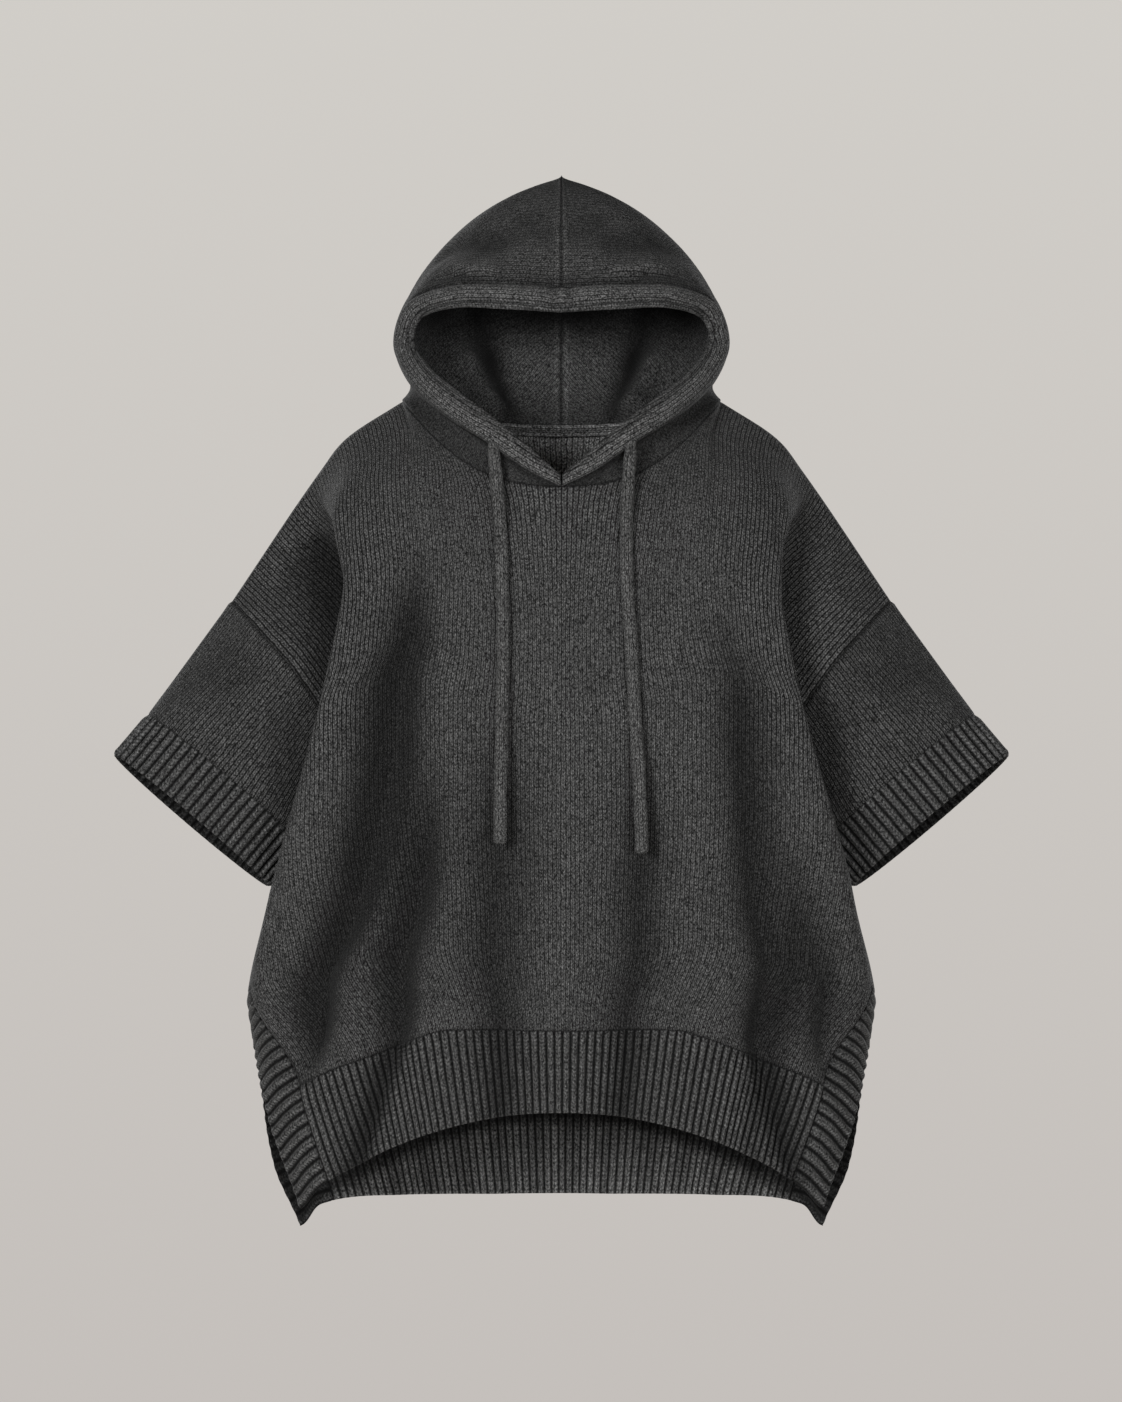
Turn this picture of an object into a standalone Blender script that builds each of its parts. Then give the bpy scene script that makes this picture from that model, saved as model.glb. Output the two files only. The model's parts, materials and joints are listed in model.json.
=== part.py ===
"""Hooded poncho sweater in chunky marled wool, hollow and filled out as if worn.

Lengths are in millimetres and are turned into metres when a mesh is made.  The frame has its
origin between the two points where the shoulder seams reach the neck, +Z up, and the front of
the garment faces -Y.  "left" is the side at -X, as seen by someone who looks at the front.

The two body panels are drawn from COURSES, one row for each level of the drape.  A place on a
panel is (across, down): across runs from 0 at the centre line to 1 at the armhole, side seam or
slit, and down runs from 0 at the neckline and shoulder seam to 1 at the hem.
"""
from collections import namedtuple
from math import cos, exp, hypot, pi, sin

import bmesh
import bpy
import numpy as np

MM = 0.001
WALL = 3.0                      # thickness of the knitted cloth
SEAM_GAP = 0.3                  # clearance between two sewn pieces
MITRE_LIMIT = 2.6               # longest mitre at a seam, in half walls

# ---- neck, shoulders and hem ---------------------------------------------------------------
PANEL_HALF_WIDTH = 355.0        # flat half width of the front and of the back
NECK_HALF_WIDTH = 134.5
FRONT_NECK_DROP = 75.0
BACK_NECK_DROP = 20.0
FRONT_NECK_REACH = -104.0       # y of the neckline at the centre front
BACK_NECK_REACH = 80.0
NECK_ROUNDNESS = 2.5            # 2 is an ellipse, more is squarer
NECK_CROWDING = 1.35            # how the wales crowd towards the ends of the neckline
SHOULDER = ((134.5, 0.0), (184.0, -33.0), (205.0, -60.0), (279.5, -170.0))   # (x, z)
FRONT_HEM = (-596.0, -84.0, 2.0)    # z at the centre, further drop at the slit, its power
BACK_HEM = (-682.0, 2.0, 4.0)
BACK_CORNER_DROP = 20.0         # how far the back hem's corner hangs below the front's
BACK_CORNER_SPREAD = 7.0        # how far it lies outside the front's
BACK_CORNER_START = 0.6         # place across where the back hem starts to drop
BACK_CORNER_POWER = 6
TOP_BLEND = 0.28                # how far down the neckline and shoulder shape the drape
CHEST_PLACE = 0.52              # a place between the centre line and the fold by the sleeve
CHEST_SHARE = 0.4               # its depth, from the centre line's 0 to the fold's 1
CHEST_FULLNESS = 4.0            # how far it stands out beyond that
LIFT_START = 0.5                # place across where the levels start to rise to the edge

# ---- levels of the drape, the same on both sides and, turned round, on the back ------------
# front_y, back_y: depth at the centre line.  ridge: the fold that stands in front of the
# sleeve.  tuck: the deepest point behind that fold.  edge: armhole, side seam, then slit.
# lift: how far the edge lies above an even spacing of the levels.
Course = namedtuple("Course", "down front_y back_y ridge_x ridge_y tuck_x tuck_y "
                              "edge_x edge_y lift")
COURSES = (
    Course(0.00, -104,  80, 168,  -14, 200,  -8, 279,   0,  0),
    Course(0.10, -115, 100, 175,  -86, 165, -56, 254, -44, 25),
    Course(0.20, -121, 112, 180, -110, 148, -70, 226, -62, 44),
    Course(0.30, -125, 118, 192, -118, 145, -64, 200, -48, 55),
    Course(0.38, -128, 122, 203, -120, 153, -46, 177,   0, 40),
    Course(0.50, -132, 126, 222, -118, 194, -48, 199,   0, 35),
    Course(0.62, -137, 130, 241, -102, 234, -46, 232,   0, 33),
    Course(0.74, -142, 134, 249,  -84, 263, -36, 261,   0, 29),
    Course(0.87, -144, 136, 214,  -98, 236, -84, 251, -64, 12),
    Course(1.00, -144, 136, 188, -108, 211, -98, 227, -84,  0),
)
UNDERARM = 0.38                 # level where the armhole ends and the side seam starts
SLIT_TOP = 0.74                 # level where the side seam ends and the slit starts
HEM_SEAM = 0.87                 # level where the ribbed hem starts
BAND_SEAM = 0.84                # place across where the ribbed slit band starts
BACK_DEPTH = 0.94               # depth of the folds behind the sleeves, to those in front

# ---- soft folds: each falls from a starting level and runs across the courses --------------
# top_across and hem_across are places across the panel, at the fold's start and at the hem.
# depth is inwards, width is half of the fold's reach as a share of the half panel, and end is
# the level where the fold has died out; more than 1 runs through the hem.
Fold = namedtuple("Fold", "panel side top_down top_across hem_across bend depth width end")
FOLDS = (
    Fold("front", -1, 0.08, 0.40, 1.24, 3.9, 23.0, 0.072, 0.88),
    Fold("front", -1, 0.42, 0.34, 0.73, 2.2, 22.0, 0.064, 1.50),
    Fold("front", -1, 0.45, 0.16, 0.32, 1.8, 11.0, 0.065, 1.50),
    Fold("front",  1, 0.18, 0.40, 0.82, 4.0, 24.0, 0.064, 1.50),
    Fold("front",  1, 0.50, 0.18, 0.20, 1.0, 11.0, 0.065, 1.50),
    Fold("front",  1, 0.52, 0.56, 1.20, 2.4, 14.0, 0.062, 0.88),
    Fold("back",  -1, 0.15, 0.36, 0.64, 1.9, 17.0, 0.062, 1.50),
    Fold("back",  -1, 0.40, 0.15, 0.26, 1.2, 11.0, 0.062, 1.50),
    Fold("back",   1, 0.22, 0.40, 0.60, 1.7, 18.0, 0.062, 1.50),
    Fold("back",   1, 0.45, 0.20, 0.19, 1.0, 10.0, 0.062, 1.50),
    Fold("back",   1, 0.50, 0.66, 1.15, 2.4, 12.0, 0.062, 0.88),
    Fold("back",  -1, 0.55, 0.62, 1.12, 2.4, 11.0, 0.062, 0.88),
)
FOLD_GROWTH = 0.30              # how far down a fold takes to reach its full depth
FOLD_DYING = 0.20               # how far above its end a fold starts to die out
FOLD_CLEAR = 0.08               # strip along the seams that the folds leave smooth

# ---- ribbing -------------------------------------------------------------------------------
RIB_RISE = 1.4                  # how far a rib stands above the groove beside it
HEM_RIB = 7.1                   # from rib to rib
SLIT_RIB = 10.0
CUFF_RIB = 8.2

# ---- sleeves and cuffs ---------------------------------------------------------------------
CUFF_TIP = (379.5, 0.0, -301.0)     # upper end of the cuff's opening
CUFF_HEEL = (250.0, 0.0, -411.0)    # lower end
CUFF_DEPTH = 45.0
CUFF_HALF_DEEP = 40.0               # half of the opening's depth, front to back
CUFF_SEAM_HALF_DEEP = 46.0
CUFF_SKEW = 6.0                     # the back of the cuff hangs lower than its front
SLEEVE_RINGS = 5

# ---- hood ----------------------------------------------------------------------------------
# The edge sewn to the casing and the casing's free edge, from the throat up to the brim.
Opening = namedtuple("Opening", "sewn_x sewn_y sewn_z free_x free_y free_z")
HOOD_OPENING = (
    Opening(0.0,  -104.0, -75.0,   1.0, -109.0, -65.0),
    Opening(27.0, -108.0, -62.0,  22.0, -115.0, -47.0),
    Opening(62.0, -104.0, -38.0,  54.0, -112.0, -20.0),
    Opening(96.0,  -88.0, -16.0,  84.0,  -98.0,   3.0),
    Opening(128.0, -58.0,  15.0, 112.0,  -68.0,  28.0),
    Opening(140.0, -30.0,  50.0, 125.0,  -44.0,  52.0),
    Opening(130.0, -34.0,  79.0, 120.0,  -50.0,  67.0),
    Opening(94.0,  -64.0,  94.0,  88.0,  -80.0,  76.0),
    Opening(50.0,  -82.0,  94.0,  48.0,  -97.0,  74.0),
    Opening(0.0,   -88.0,  91.0,   0.0, -102.0,  71.0),
)
OPENING_CORNER = 6              # the row where the cheek turns into the brim
# Levels of one half of the hood.  front: the crown seam, used above the brim.  side: the
# widest place.  back: the seam behind the head.
HoodLevel = namedtuple("HoodLevel", "front_y front_z side_x side_y side_z back_y back_z")
HOOD_CHEEK = (
    HoodLevel(0, 0, 134.5, 0.0, 0.0, 80.0, -20.0),
    HoodLevel(0, 0, 127.0, 0.0, 12.0, 94.0, 0.0),
    HoodLevel(0, 0, 132.0, 2.0, 28.0, 102.0, 20.0),
    HoodLevel(0, 0, 140.5, 6.0, 46.0, 109.0, 45.0),
    HoodLevel(0, 0, 139.0, 10.0, 65.0, 114.0, 72.0),
    HoodLevel(0, 0, 130.0, 13.0, 86.0, 115.0, 98.0),
)
HOOD_CROWN = (
    HoodLevel(-88.0, 91.0, 130.0, 13.0, 86.0, 115.0, 98.0),
    HoodLevel(-76.0, 116.0, 116.0, 12.0, 111.0, 112.0, 122.0),
    HoodLevel(-50.0, 148.0, 94.5, 14.0, 137.0, 104.0, 147.0),
    HoodLevel(-16.0, 177.0, 62.0, 24.0, 163.0, 90.0, 169.0),
    HoodLevel(24.0, 194.0, 0.0, 46.0, 191.0, 68.0, 186.0),
)
LEVEL_SPACING = 40.0            # nominal length from level to level
HOOD_QUARTER = 0.74             # how full the hood is between its side and its seams
NECK_BLEND = 1 / 3              # share of the cheek's height that follows the neckline
CROWN_EASE = 1.5                # how fast the crown's levels leave the cheek's last one
CASING_PROFILE = ((0.0, 1.5), (0.22, 3.9), (0.65, 4.6), (1.0, 2.4))   # (across, half thickness)

# ---- neck tape and drawstrings -------------------------------------------------------------
TAPE_HALF_LENGTH = 56.0
TAPE_HEIGHT = 11.0
TAPE_THICK = 1.6
CORD_RADIUS = 5.4
CORD_ROUTES = {
    "left": ((-56.5, -112.0, -46.0), (-54.5, -110.8, -68.0), (-51.5, -116.3, -100.0),
             (-49.3, -127.0, -150.0), (-48.5, -132.3, -200.0), (-49.0, -136.4, -260.0),
             (-50.5, -139.0, -320.0), (-51.0, -139.4, -373.0)),
    "right": ((58.0, -112.0, -44.6), (56.0, -110.8, -68.0), (54.3, -116.5, -100.0),
              (54.5, -127.5, -150.0), (57.5, -132.7, -200.0), (61.0, -136.8, -260.0),
              (64.5, -139.4, -320.0), (67.0, -139.6, -381.0)),
}
CORD_POINTS = 22

# ---- places of the grid lines on a panel ---------------------------------------------------
NECK_ACROSS = NECK_HALF_WIDTH / PANEL_HALF_WIDTH
NECK_SPANS = 6
PANEL_ACROSS = ([NECK_ACROSS * k / NECK_SPANS for k in range(NECK_SPANS)]
                + [NECK_ACROSS, 0.42, 0.46, 0.50, 0.54, 0.58, 0.62, 0.66, 0.705, 0.75, 0.795,
                   BAND_SEAM, 0.92, 1.0])
ARMHOLE_SPANS = 10
PANEL_DOWN = ([UNDERARM * k / ARMHOLE_SPANS for k in range(ARMHOLE_SPANS)]
              + [UNDERARM, 0.43, 0.48, 0.53, 0.575, 0.62, 0.66, 0.70, SLIT_TOP, 0.757, 0.775, 0.80,
                 0.835, HEM_SEAM, 1.0])
CHEEK_SPANS = 10                # rows of the hood from the throat to the brim
CROWN_SPANS = 6                 # rows from the brim to the peak
BRIM_SPANS = 6
OPENING_SPANS = (CHEEK_SPANS, BRIM_SPANS)


# =============================================================================================
# curves
# =============================================================================================
def through(points, count=None, at=None):
    """Points along a smooth curve through the given points, evenly spaced by length."""
    p = np.array(points, dtype=float)
    chord = np.concatenate([[0.0], np.cumsum(np.linalg.norm(np.diff(p, axis=0), axis=1) ** 0.5)])
    fine = []
    for k in range(len(p) - 1):
        before = p[k - 1] if k else 2 * p[0] - p[1]
        after = p[k + 2] if k + 2 < len(p) else 2 * p[-1] - p[-2]
        span = chord[k + 1] - chord[k]
        span_before = chord[k] - chord[k - 1] if k else span
        span_after = chord[k + 2] - chord[k + 1] if k + 2 < len(p) else span
        slope_a = ((p[k + 1] - p[k]) / span * span_before
                   + (p[k] - before) / span_before * span) / (span + span_before) * span
        slope_b = ((after - p[k + 1]) / span_after * span
                   + (p[k + 1] - p[k]) / span * span_after) / (span + span_after) * span
        for s in np.linspace(0, 1, 24, endpoint=False):
            fine.append((2 * s**3 - 3 * s**2 + 1) * p[k] + (s**3 - 2 * s**2 + s) * slope_a
                        + (3 * s**2 - 2 * s**3) * p[k + 1] + (s**3 - s**2) * slope_b)
    fine.append(p[-1])
    fine = np.array(fine)
    length = np.concatenate([[0.0], np.cumsum(np.linalg.norm(np.diff(fine, axis=0), axis=1))])
    places = np.linspace(0, 1, count) if at is None else np.asarray(at, dtype=float)
    return np.stack([np.interp(places * length[-1], length, fine[:, c])
                     for c in range(p.shape[1])], axis=-1)


def course_at(down):
    """The row of COURSES at any level, by a curve that never swings past its rows."""
    table = np.array(COURSES)
    levels = table[:, 0]
    k = min(max(np.searchsorted(levels, down) - 1, 0), len(levels) - 2)
    rise = np.diff(table, axis=0) / np.diff(levels)[:, None]

    def slope(n):
        if n == 0 or n == len(levels) - 1:
            return rise[min(n, len(rise) - 1)]
        before, after = rise[n - 1], rise[n]
        agree = before * after > 0
        total = np.where(agree, before + after, 1.0)
        return np.where(agree, 2 * before * after / total, 0.0)

    span = levels[k + 1] - levels[k]
    s = (down - levels[k]) / span
    return Course(*((2 * s**3 - 3 * s**2 + 1) * table[k] + (s**3 - 2 * s**2 + s) * span * slope(k)
                    + (3 * s**2 - 2 * s**3) * table[k + 1] + (s**3 - s**2) * span * slope(k + 1)))


def smooth_step(value):
    value = min(max(value, 0.0), 1.0)
    return value * value * (3 - 2 * value)


# =============================================================================================
# drape of the two body panels
# =============================================================================================
def top_line(across, panel):
    """The neckline and the shoulder seam of one half of a panel, as (x, y, z)."""
    reach, drop = ((FRONT_NECK_REACH, FRONT_NECK_DROP) if panel == "front"
                   else (BACK_NECK_REACH, BACK_NECK_DROP))
    if across <= NECK_ACROSS:
        share = 1 - (1 - across / NECK_ACROSS) ** NECK_CROWDING
        return np.array([NECK_HALF_WIDTH * share, reach * (1 - share * share) ** 0.5,
                         -drop * (1 - share ** NECK_ROUNDNESS)])
    x, z = through(SHOULDER, at=[(across - NECK_ACROSS) / (1 - NECK_ACROSS)])[0]
    return np.array([x, 0.0, z])


def hem_height(across, panel):
    height, drop, power = FRONT_HEM if panel == "front" else BACK_HEM
    return height + drop * across ** power


def fold_depth(across, down, side, panel):
    """How far the soft folds press the cloth inwards at a place on a panel."""
    total = 0.0
    for fold in FOLDS:
        if fold.panel != panel or fold.side != side or down <= fold.top_down:
            continue
        run = (down - fold.top_down) / (1 - fold.top_down)
        middle = fold.top_across + (fold.hem_across - fold.top_across) * run ** fold.bend
        strength = (smooth_step((down - fold.top_down) / FOLD_GROWTH)
                    * smooth_step((fold.end - down) / FOLD_DYING))
        total += fold.depth * strength * exp(-((across - middle) / fold.width) ** 2)
    return total


def course_curve(down, panel):
    """One half of a course in plan, as a curve of (x, y) from the centre line to the edge."""
    row = course_at(down)
    turned = 1.0 if panel == "front" else -1.0
    deep = 1.0 if panel == "front" else BACK_DEPTH
    middle_y = row.front_y if panel == "front" else row.back_y
    ridge_y = turned * deep * row.ridge_y
    chest_y = middle_y + CHEST_SHARE * (ridge_y - middle_y) - turned * CHEST_FULLNESS
    return np.array(((0.0, middle_y),
                     (CHEST_PLACE * row.ridge_x, chest_y),
                     (row.ridge_x, ridge_y),
                     (row.tuck_x, turned * deep * row.tuck_y),
                     (row.edge_x, turned * row.edge_y)))


def half_course(down, places, side, panel):
    """Points of one half of a course at the given places across."""
    row = course_at(down)
    curve = course_curve(down, panel)
    plan = through(curve, at=places)
    ahead = through(curve, at=np.clip(np.array(places) + 0.01, 0, 1))
    behind = through(curve, at=np.clip(np.array(places) - 0.01, 0, 1))
    fade = max(0.0, 1 - down / TOP_BLEND) ** 2
    first = through(course_curve(0.0, panel), at=places) if fade else None
    points = []
    for k, across in enumerate(places):
        top = top_line(across, panel)
        x, y = plan[k]
        if fade:
            x += fade * (top[0] - first[k][0])
            y += fade * (top[1] - first[k][1])
        z = top[2] + (hem_height(across, panel) - top[2]) * down
        z += row.lift * smooth_step((across - LIFT_START) / (1 - LIFT_START))
        along = ahead[k] - behind[k]
        outward = np.array([-along[1], along[0]]) / max(hypot(*along), 1e-6)
        if panel == "front":
            outward = -outward
        press = fold_depth(across, down, side, panel) * smooth_step((1 - across) / FOLD_CLEAR)
        x -= outward[0] * press
        y -= outward[1] * press
        if panel == "back":
            corner = (smooth_step((across - BACK_CORNER_START) / (1 - BACK_CORNER_START))
                      * smooth_step((down - SLIT_TOP) / (1 - SLIT_TOP)))
            x += BACK_CORNER_SPREAD * corner
            z -= BACK_CORNER_DROP * corner * across ** BACK_CORNER_POWER
        points.append((side * x, y, z))
    return points


def panel_points(panel, places, levels):
    """A grid of points over a whole panel; a row for each level, from the left to the right."""
    grid = []
    for down in levels:
        left = half_course(down, places, -1, panel)
        right = half_course(down, places, 1, panel)
        grid.append(left[:0:-1] + right)
    return np.array(grid)


# =============================================================================================
# hood
# =============================================================================================
def sectioned(knots, marks, spans):
    """Points along a smooth curve through knots, with so many spans from mark to mark."""
    knots = np.array(knots, dtype=float)
    count = 60 * (len(knots) - 1)
    dense = through(knots, count=count + 1)
    stops = [np.argmin(np.linalg.norm(dense - knots[mark], axis=1)) / count for mark in marks]
    places = [0.0]
    for start, end, number in zip(stops, stops[1:], spans):
        places += list(np.linspace(start, end, number + 1)[1:])
    return through(knots, at=places)


def hood_level(table, place):
    """A level of the hood between the rows of a table; place runs from 0 to 1."""
    rows = np.array(table, dtype=float)
    numbered = np.column_stack([LEVEL_SPACING * np.arange(len(rows)), rows])
    return HoodLevel(*through(numbered, at=[place])[0][1:])


def quarter_point(widest, seam):
    """A place between the hood's side and a seam, as full as HOOD_QUARTER says."""
    middle = (widest + seam) / 2
    return np.array((widest[0] * HOOD_QUARTER,
                     widest[1] + (seam[1] - widest[1]) * HOOD_QUARTER, middle[2]))


def hood_points(side):
    """One half of the hood: rows run from the neck seam up to the peak.

    The first columns belong to the brim, and only the crown's rows use them.
    """
    turns = [k / NECK_SPANS * NECK_ACROSS for k in range(NECK_SPANS + 1)]
    neck = [top_line(a, "front") for a in turns] + [top_line(a, "back") for a in turns[-2::-1]]
    opening = sectioned(np.array(HOOD_OPENING)[:, :3], (0, OPENING_CORNER, -1), OPENING_SPANS)
    grid = np.zeros((CHEEK_SPANS + CROWN_SPANS + 1, BRIM_SPANS + 2 * NECK_SPANS + 1, 3))
    for i in range(CHEEK_SPANS + 1):
        level = hood_level(HOOD_CHEEK, i / CHEEK_SPANS)
        widest, back = np.array(level[2:5]), np.array((0.0, level.back_y, level.back_z))
        knots = (opening[i], widest, quarter_point(widest, back), back)
        row = sectioned(knots, (0, 1, 3), (NECK_SPANS, NECK_SPANS))
        if i == 0:
            shift = np.array(neck) - row
        grid[i, BRIM_SPANS:] = row + shift * max(0.0, 1 - i / CHEEK_SPANS / NECK_BLEND) ** 2
    grid[CHEEK_SPANS, :BRIM_SPANS] = opening[:CHEEK_SPANS:-1]
    for i in range(CROWN_SPANS + 1):
        level = hood_level(HOOD_CROWN, i / CROWN_SPANS)
        widest, back = np.array(level[2:5]), np.array((0.0, level.back_y, level.back_z))
        front = np.array((0.0, level.front_y, level.front_z))
        knots = (front, quarter_point(widest, front), widest, quarter_point(widest, back), back)
        row = sectioned(knots, (0, 1, 2, 4), (BRIM_SPANS, NECK_SPANS, NECK_SPANS))
        if i == 0:
            shift = grid[CHEEK_SPANS] - row
        grid[CHEEK_SPANS + i] = row + shift * (1 - i / CROWN_SPANS) ** CROWN_EASE
    grid[:, :, 0] *= side
    return grid


def hood_cloth(name, side):
    cells = np.ones((CHEEK_SPANS + CROWN_SPANS, BRIM_SPANS + 2 * NECK_SPANS), dtype=bool)
    cells[:CHEEK_SPANS, :BRIM_SPANS] = False
    return Cloth(name, hood_points(side), side, cells)


# =============================================================================================
# sleeves
# =============================================================================================
def cuff_ring(side, shares, back_off, half_deep):
    """A ring of the cuff; shares run 0 to 1 from the tip down the front and 1 to 2 back up."""
    tip, heel = np.array(CUFF_TIP), np.array(CUFF_HEEL)
    centre, half = (tip + heel) / 2, (tip - heel) / 2
    up_arm = np.cross(half / np.linalg.norm(half), (0.0, 1.0, 0.0))
    ring = []
    for share in shares:
        turn = pi * share
        point = centre + half * cos(turn) + np.array((0.0, -half_deep * sin(turn), 0.0))
        point = point + up_arm * (back_off + CUFF_SKEW * sin(turn))
        ring.append(point * (side, 1, 1))
    return np.array(ring)


def armhole_ring(side):
    """The armhole seam, from the shoulder down the front and up the back, closed."""
    levels = PANEL_DOWN[:ARMHOLE_SPANS + 1]
    front = [half_course(d, [1.0], side, "front")[0] for d in levels]
    back = [half_course(d, [1.0], side, "back")[0] for d in levels]
    return np.array(front + back[-2::-1])


def ring_shares(ring):
    """How far each point of the armhole lies round it: 0 to 1 on the front, 1 to 2 behind."""
    steps = np.linalg.norm(np.diff(ring, axis=0), axis=1)
    length = np.concatenate([[0.0], np.cumsum(steps)])
    middle = length[ARMHOLE_SPANS]
    return [s / middle if s <= middle else 1 + (s - middle) / (length[-1] - middle)
            for s in length]


def sleeve_points(side):
    armhole = armhole_ring(side)
    shares = ring_shares(armhole)
    cuff = cuff_ring(side, shares, CUFF_DEPTH, CUFF_SEAM_HALF_DEEP)
    rows = [armhole + (cuff - armhole) * k / SLEEVE_RINGS for k in range(SLEEVE_RINGS + 1)]
    return np.array(rows)


def cuff_points(side):
    shares = ring_shares(armhole_ring(side))
    return np.array([cuff_ring(side, shares, CUFF_DEPTH, CUFF_SEAM_HALF_DEEP),
                     cuff_ring(side, shares, 0.0, CUFF_HALF_DEEP)])


# =============================================================================================
# walls of cloth
# =============================================================================================
class Cloth:
    """A piece of cloth: a grid of mid-surface points, the cells in use and its outer side."""

    def __init__(self, name, points, outward, cells=None):
        self.name = name
        self.points = points
        self.outward = outward
        rows, columns = points.shape[0] - 1, points.shape[1] - 1
        self.cells = np.ones((rows, columns), dtype=bool) if cells is None else cells
        self.mitres = None

    def own_normals(self):
        """The unit normal at each place, added up over the cells that meet there."""
        total = {}
        for i, j in zip(*np.nonzero(self.cells)):
            a, b = self.points[i, j], self.points[i, j + 1]
            c, d = self.points[i + 1, j + 1], self.points[i + 1, j]
            normal = np.cross(c - a, d - b) * self.outward
            for corner in (a, b, c, d):
                spot = place_key(corner)
                total[spot] = total.get(spot, 0) + normal
        return {spot: n / np.linalg.norm(n) for spot, n in total.items()}

    def pull_in(self):
        """Draw every edge of the piece back by half a seam gap, within its own surface."""
        moved = {}
        used = self.cells
        last = self.points.shape[1] - 1
        closed = bool(np.allclose(self.points[:, 0], self.points[:, last]))
        for i, j in zip(*np.nonzero(used)):
            a, b = (i, j), (i, j + 1)
            c, d = (i + 1, j + 1), (i + 1, j)
            middle = (self.points[a] + self.points[b] + self.points[c] + self.points[d]) / 4
            for near, far, beside in ((a, b, (i - 1, j)), (b, c, (i, j + 1)),
                                      (c, d, (i + 1, j)), (d, a, (i, j - 1))):
                inside = (0 <= beside[0] < used.shape[0] and 0 <= beside[1] < used.shape[1]
                          and used[beside])
                if inside or (closed and beside[1] in (-1, last)):
                    continue
                edge = self.points[far] - self.points[near]
                if np.linalg.norm(edge) < 1e-6:
                    continue
                edge = edge / np.linalg.norm(edge)
                inward = middle - (self.points[near] + self.points[far]) / 2
                inward = inward - edge * np.dot(inward, edge)
                inward = inward / np.linalg.norm(inward)
                for spot in (near, far):
                    spot = (spot[0], 0) if closed and spot[1] == last else spot
                    moved.setdefault(spot, []).append(inward)
        for spot, directions in moved.items():
            pull = np.linalg.pinv(np.array(directions), rcond=0.3) @ np.ones(len(directions))
            self.points[spot] = self.points[spot] + pull * SEAM_GAP / 2
        if closed:
            self.points[:, last] = self.points[:, 0]


def place_key(point):
    """A name for a place, the same for two pieces that share a seam there."""
    return tuple(np.round(point * 10 + 0.3719).astype(int))


def set_mitres(pieces):
    """Give each piece the directions in which its wall has its thickness.

    Where pieces meet, the direction is the mitre of all their normals, so that their walls
    end on one shared plane.
    """
    shared = {}
    for piece in pieces:
        for spot, normal in piece.own_normals().items():
            shared.setdefault(spot, []).append(normal)
    for piece in pieces:
        piece.mitres = np.zeros_like(piece.points)
        for i in range(piece.points.shape[0]):
            for j in range(piece.points.shape[1]):
                normals = shared.get(place_key(piece.points[i, j]))
                if normals is None:
                    continue
                mitre = np.linalg.pinv(np.array(normals), rcond=0.25) @ np.ones(len(normals))
                length = np.linalg.norm(mitre)
                piece.mitres[i, j] = mitre * min(1.0, MITRE_LIMIT / length)


def ribbed(coarse, seam_row_pitch=None, seam_column_pitch=None):
    """Fine grid over a coarse piece, with a line on each rib and one in each groove.

    Returns points, mitres and a grid that is 1 on a rib and 0 in a groove.
    """
    points, mitres = coarse.points, coarse.mitres
    if seam_column_pitch:
        points, mitres = points.transpose(1, 0, 2), mitres.transpose(1, 0, 2)
    pitch = seam_row_pitch or seam_column_pitch
    steps = np.linalg.norm(np.diff(points[0], axis=0), axis=1)
    length = np.concatenate([[0.0], np.cumsum(steps)])
    ribs = max(2, round(length[-1] / pitch))
    closed = np.allclose(points[:, 0], points[:, -1])
    places = np.linspace(0, 1, 2 * ribs + 1) * length[-1]
    fine = np.stack([[np.interp(places, length, row[:, c]) for c in range(3)] for row in points])
    fine_mitres = np.stack([[np.interp(places, length, row[:, c]) for c in range(3)]
                            for row in mitres])
    fine, fine_mitres = fine.transpose(0, 2, 1), fine_mitres.transpose(0, 2, 1)
    raised = np.tile(np.arange(2 * ribs + 1) % 2, (fine.shape[0], 1)).astype(float)
    if closed:
        fine[:, -1] = fine[:, 0]
        fine_mitres[:, -1] = fine_mitres[:, 0]
    if seam_column_pitch:
        fine, fine_mitres = fine.transpose(1, 0, 2), fine_mitres.transpose(1, 0, 2)
        raised = raised.T
    return fine, fine_mitres, raised


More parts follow.
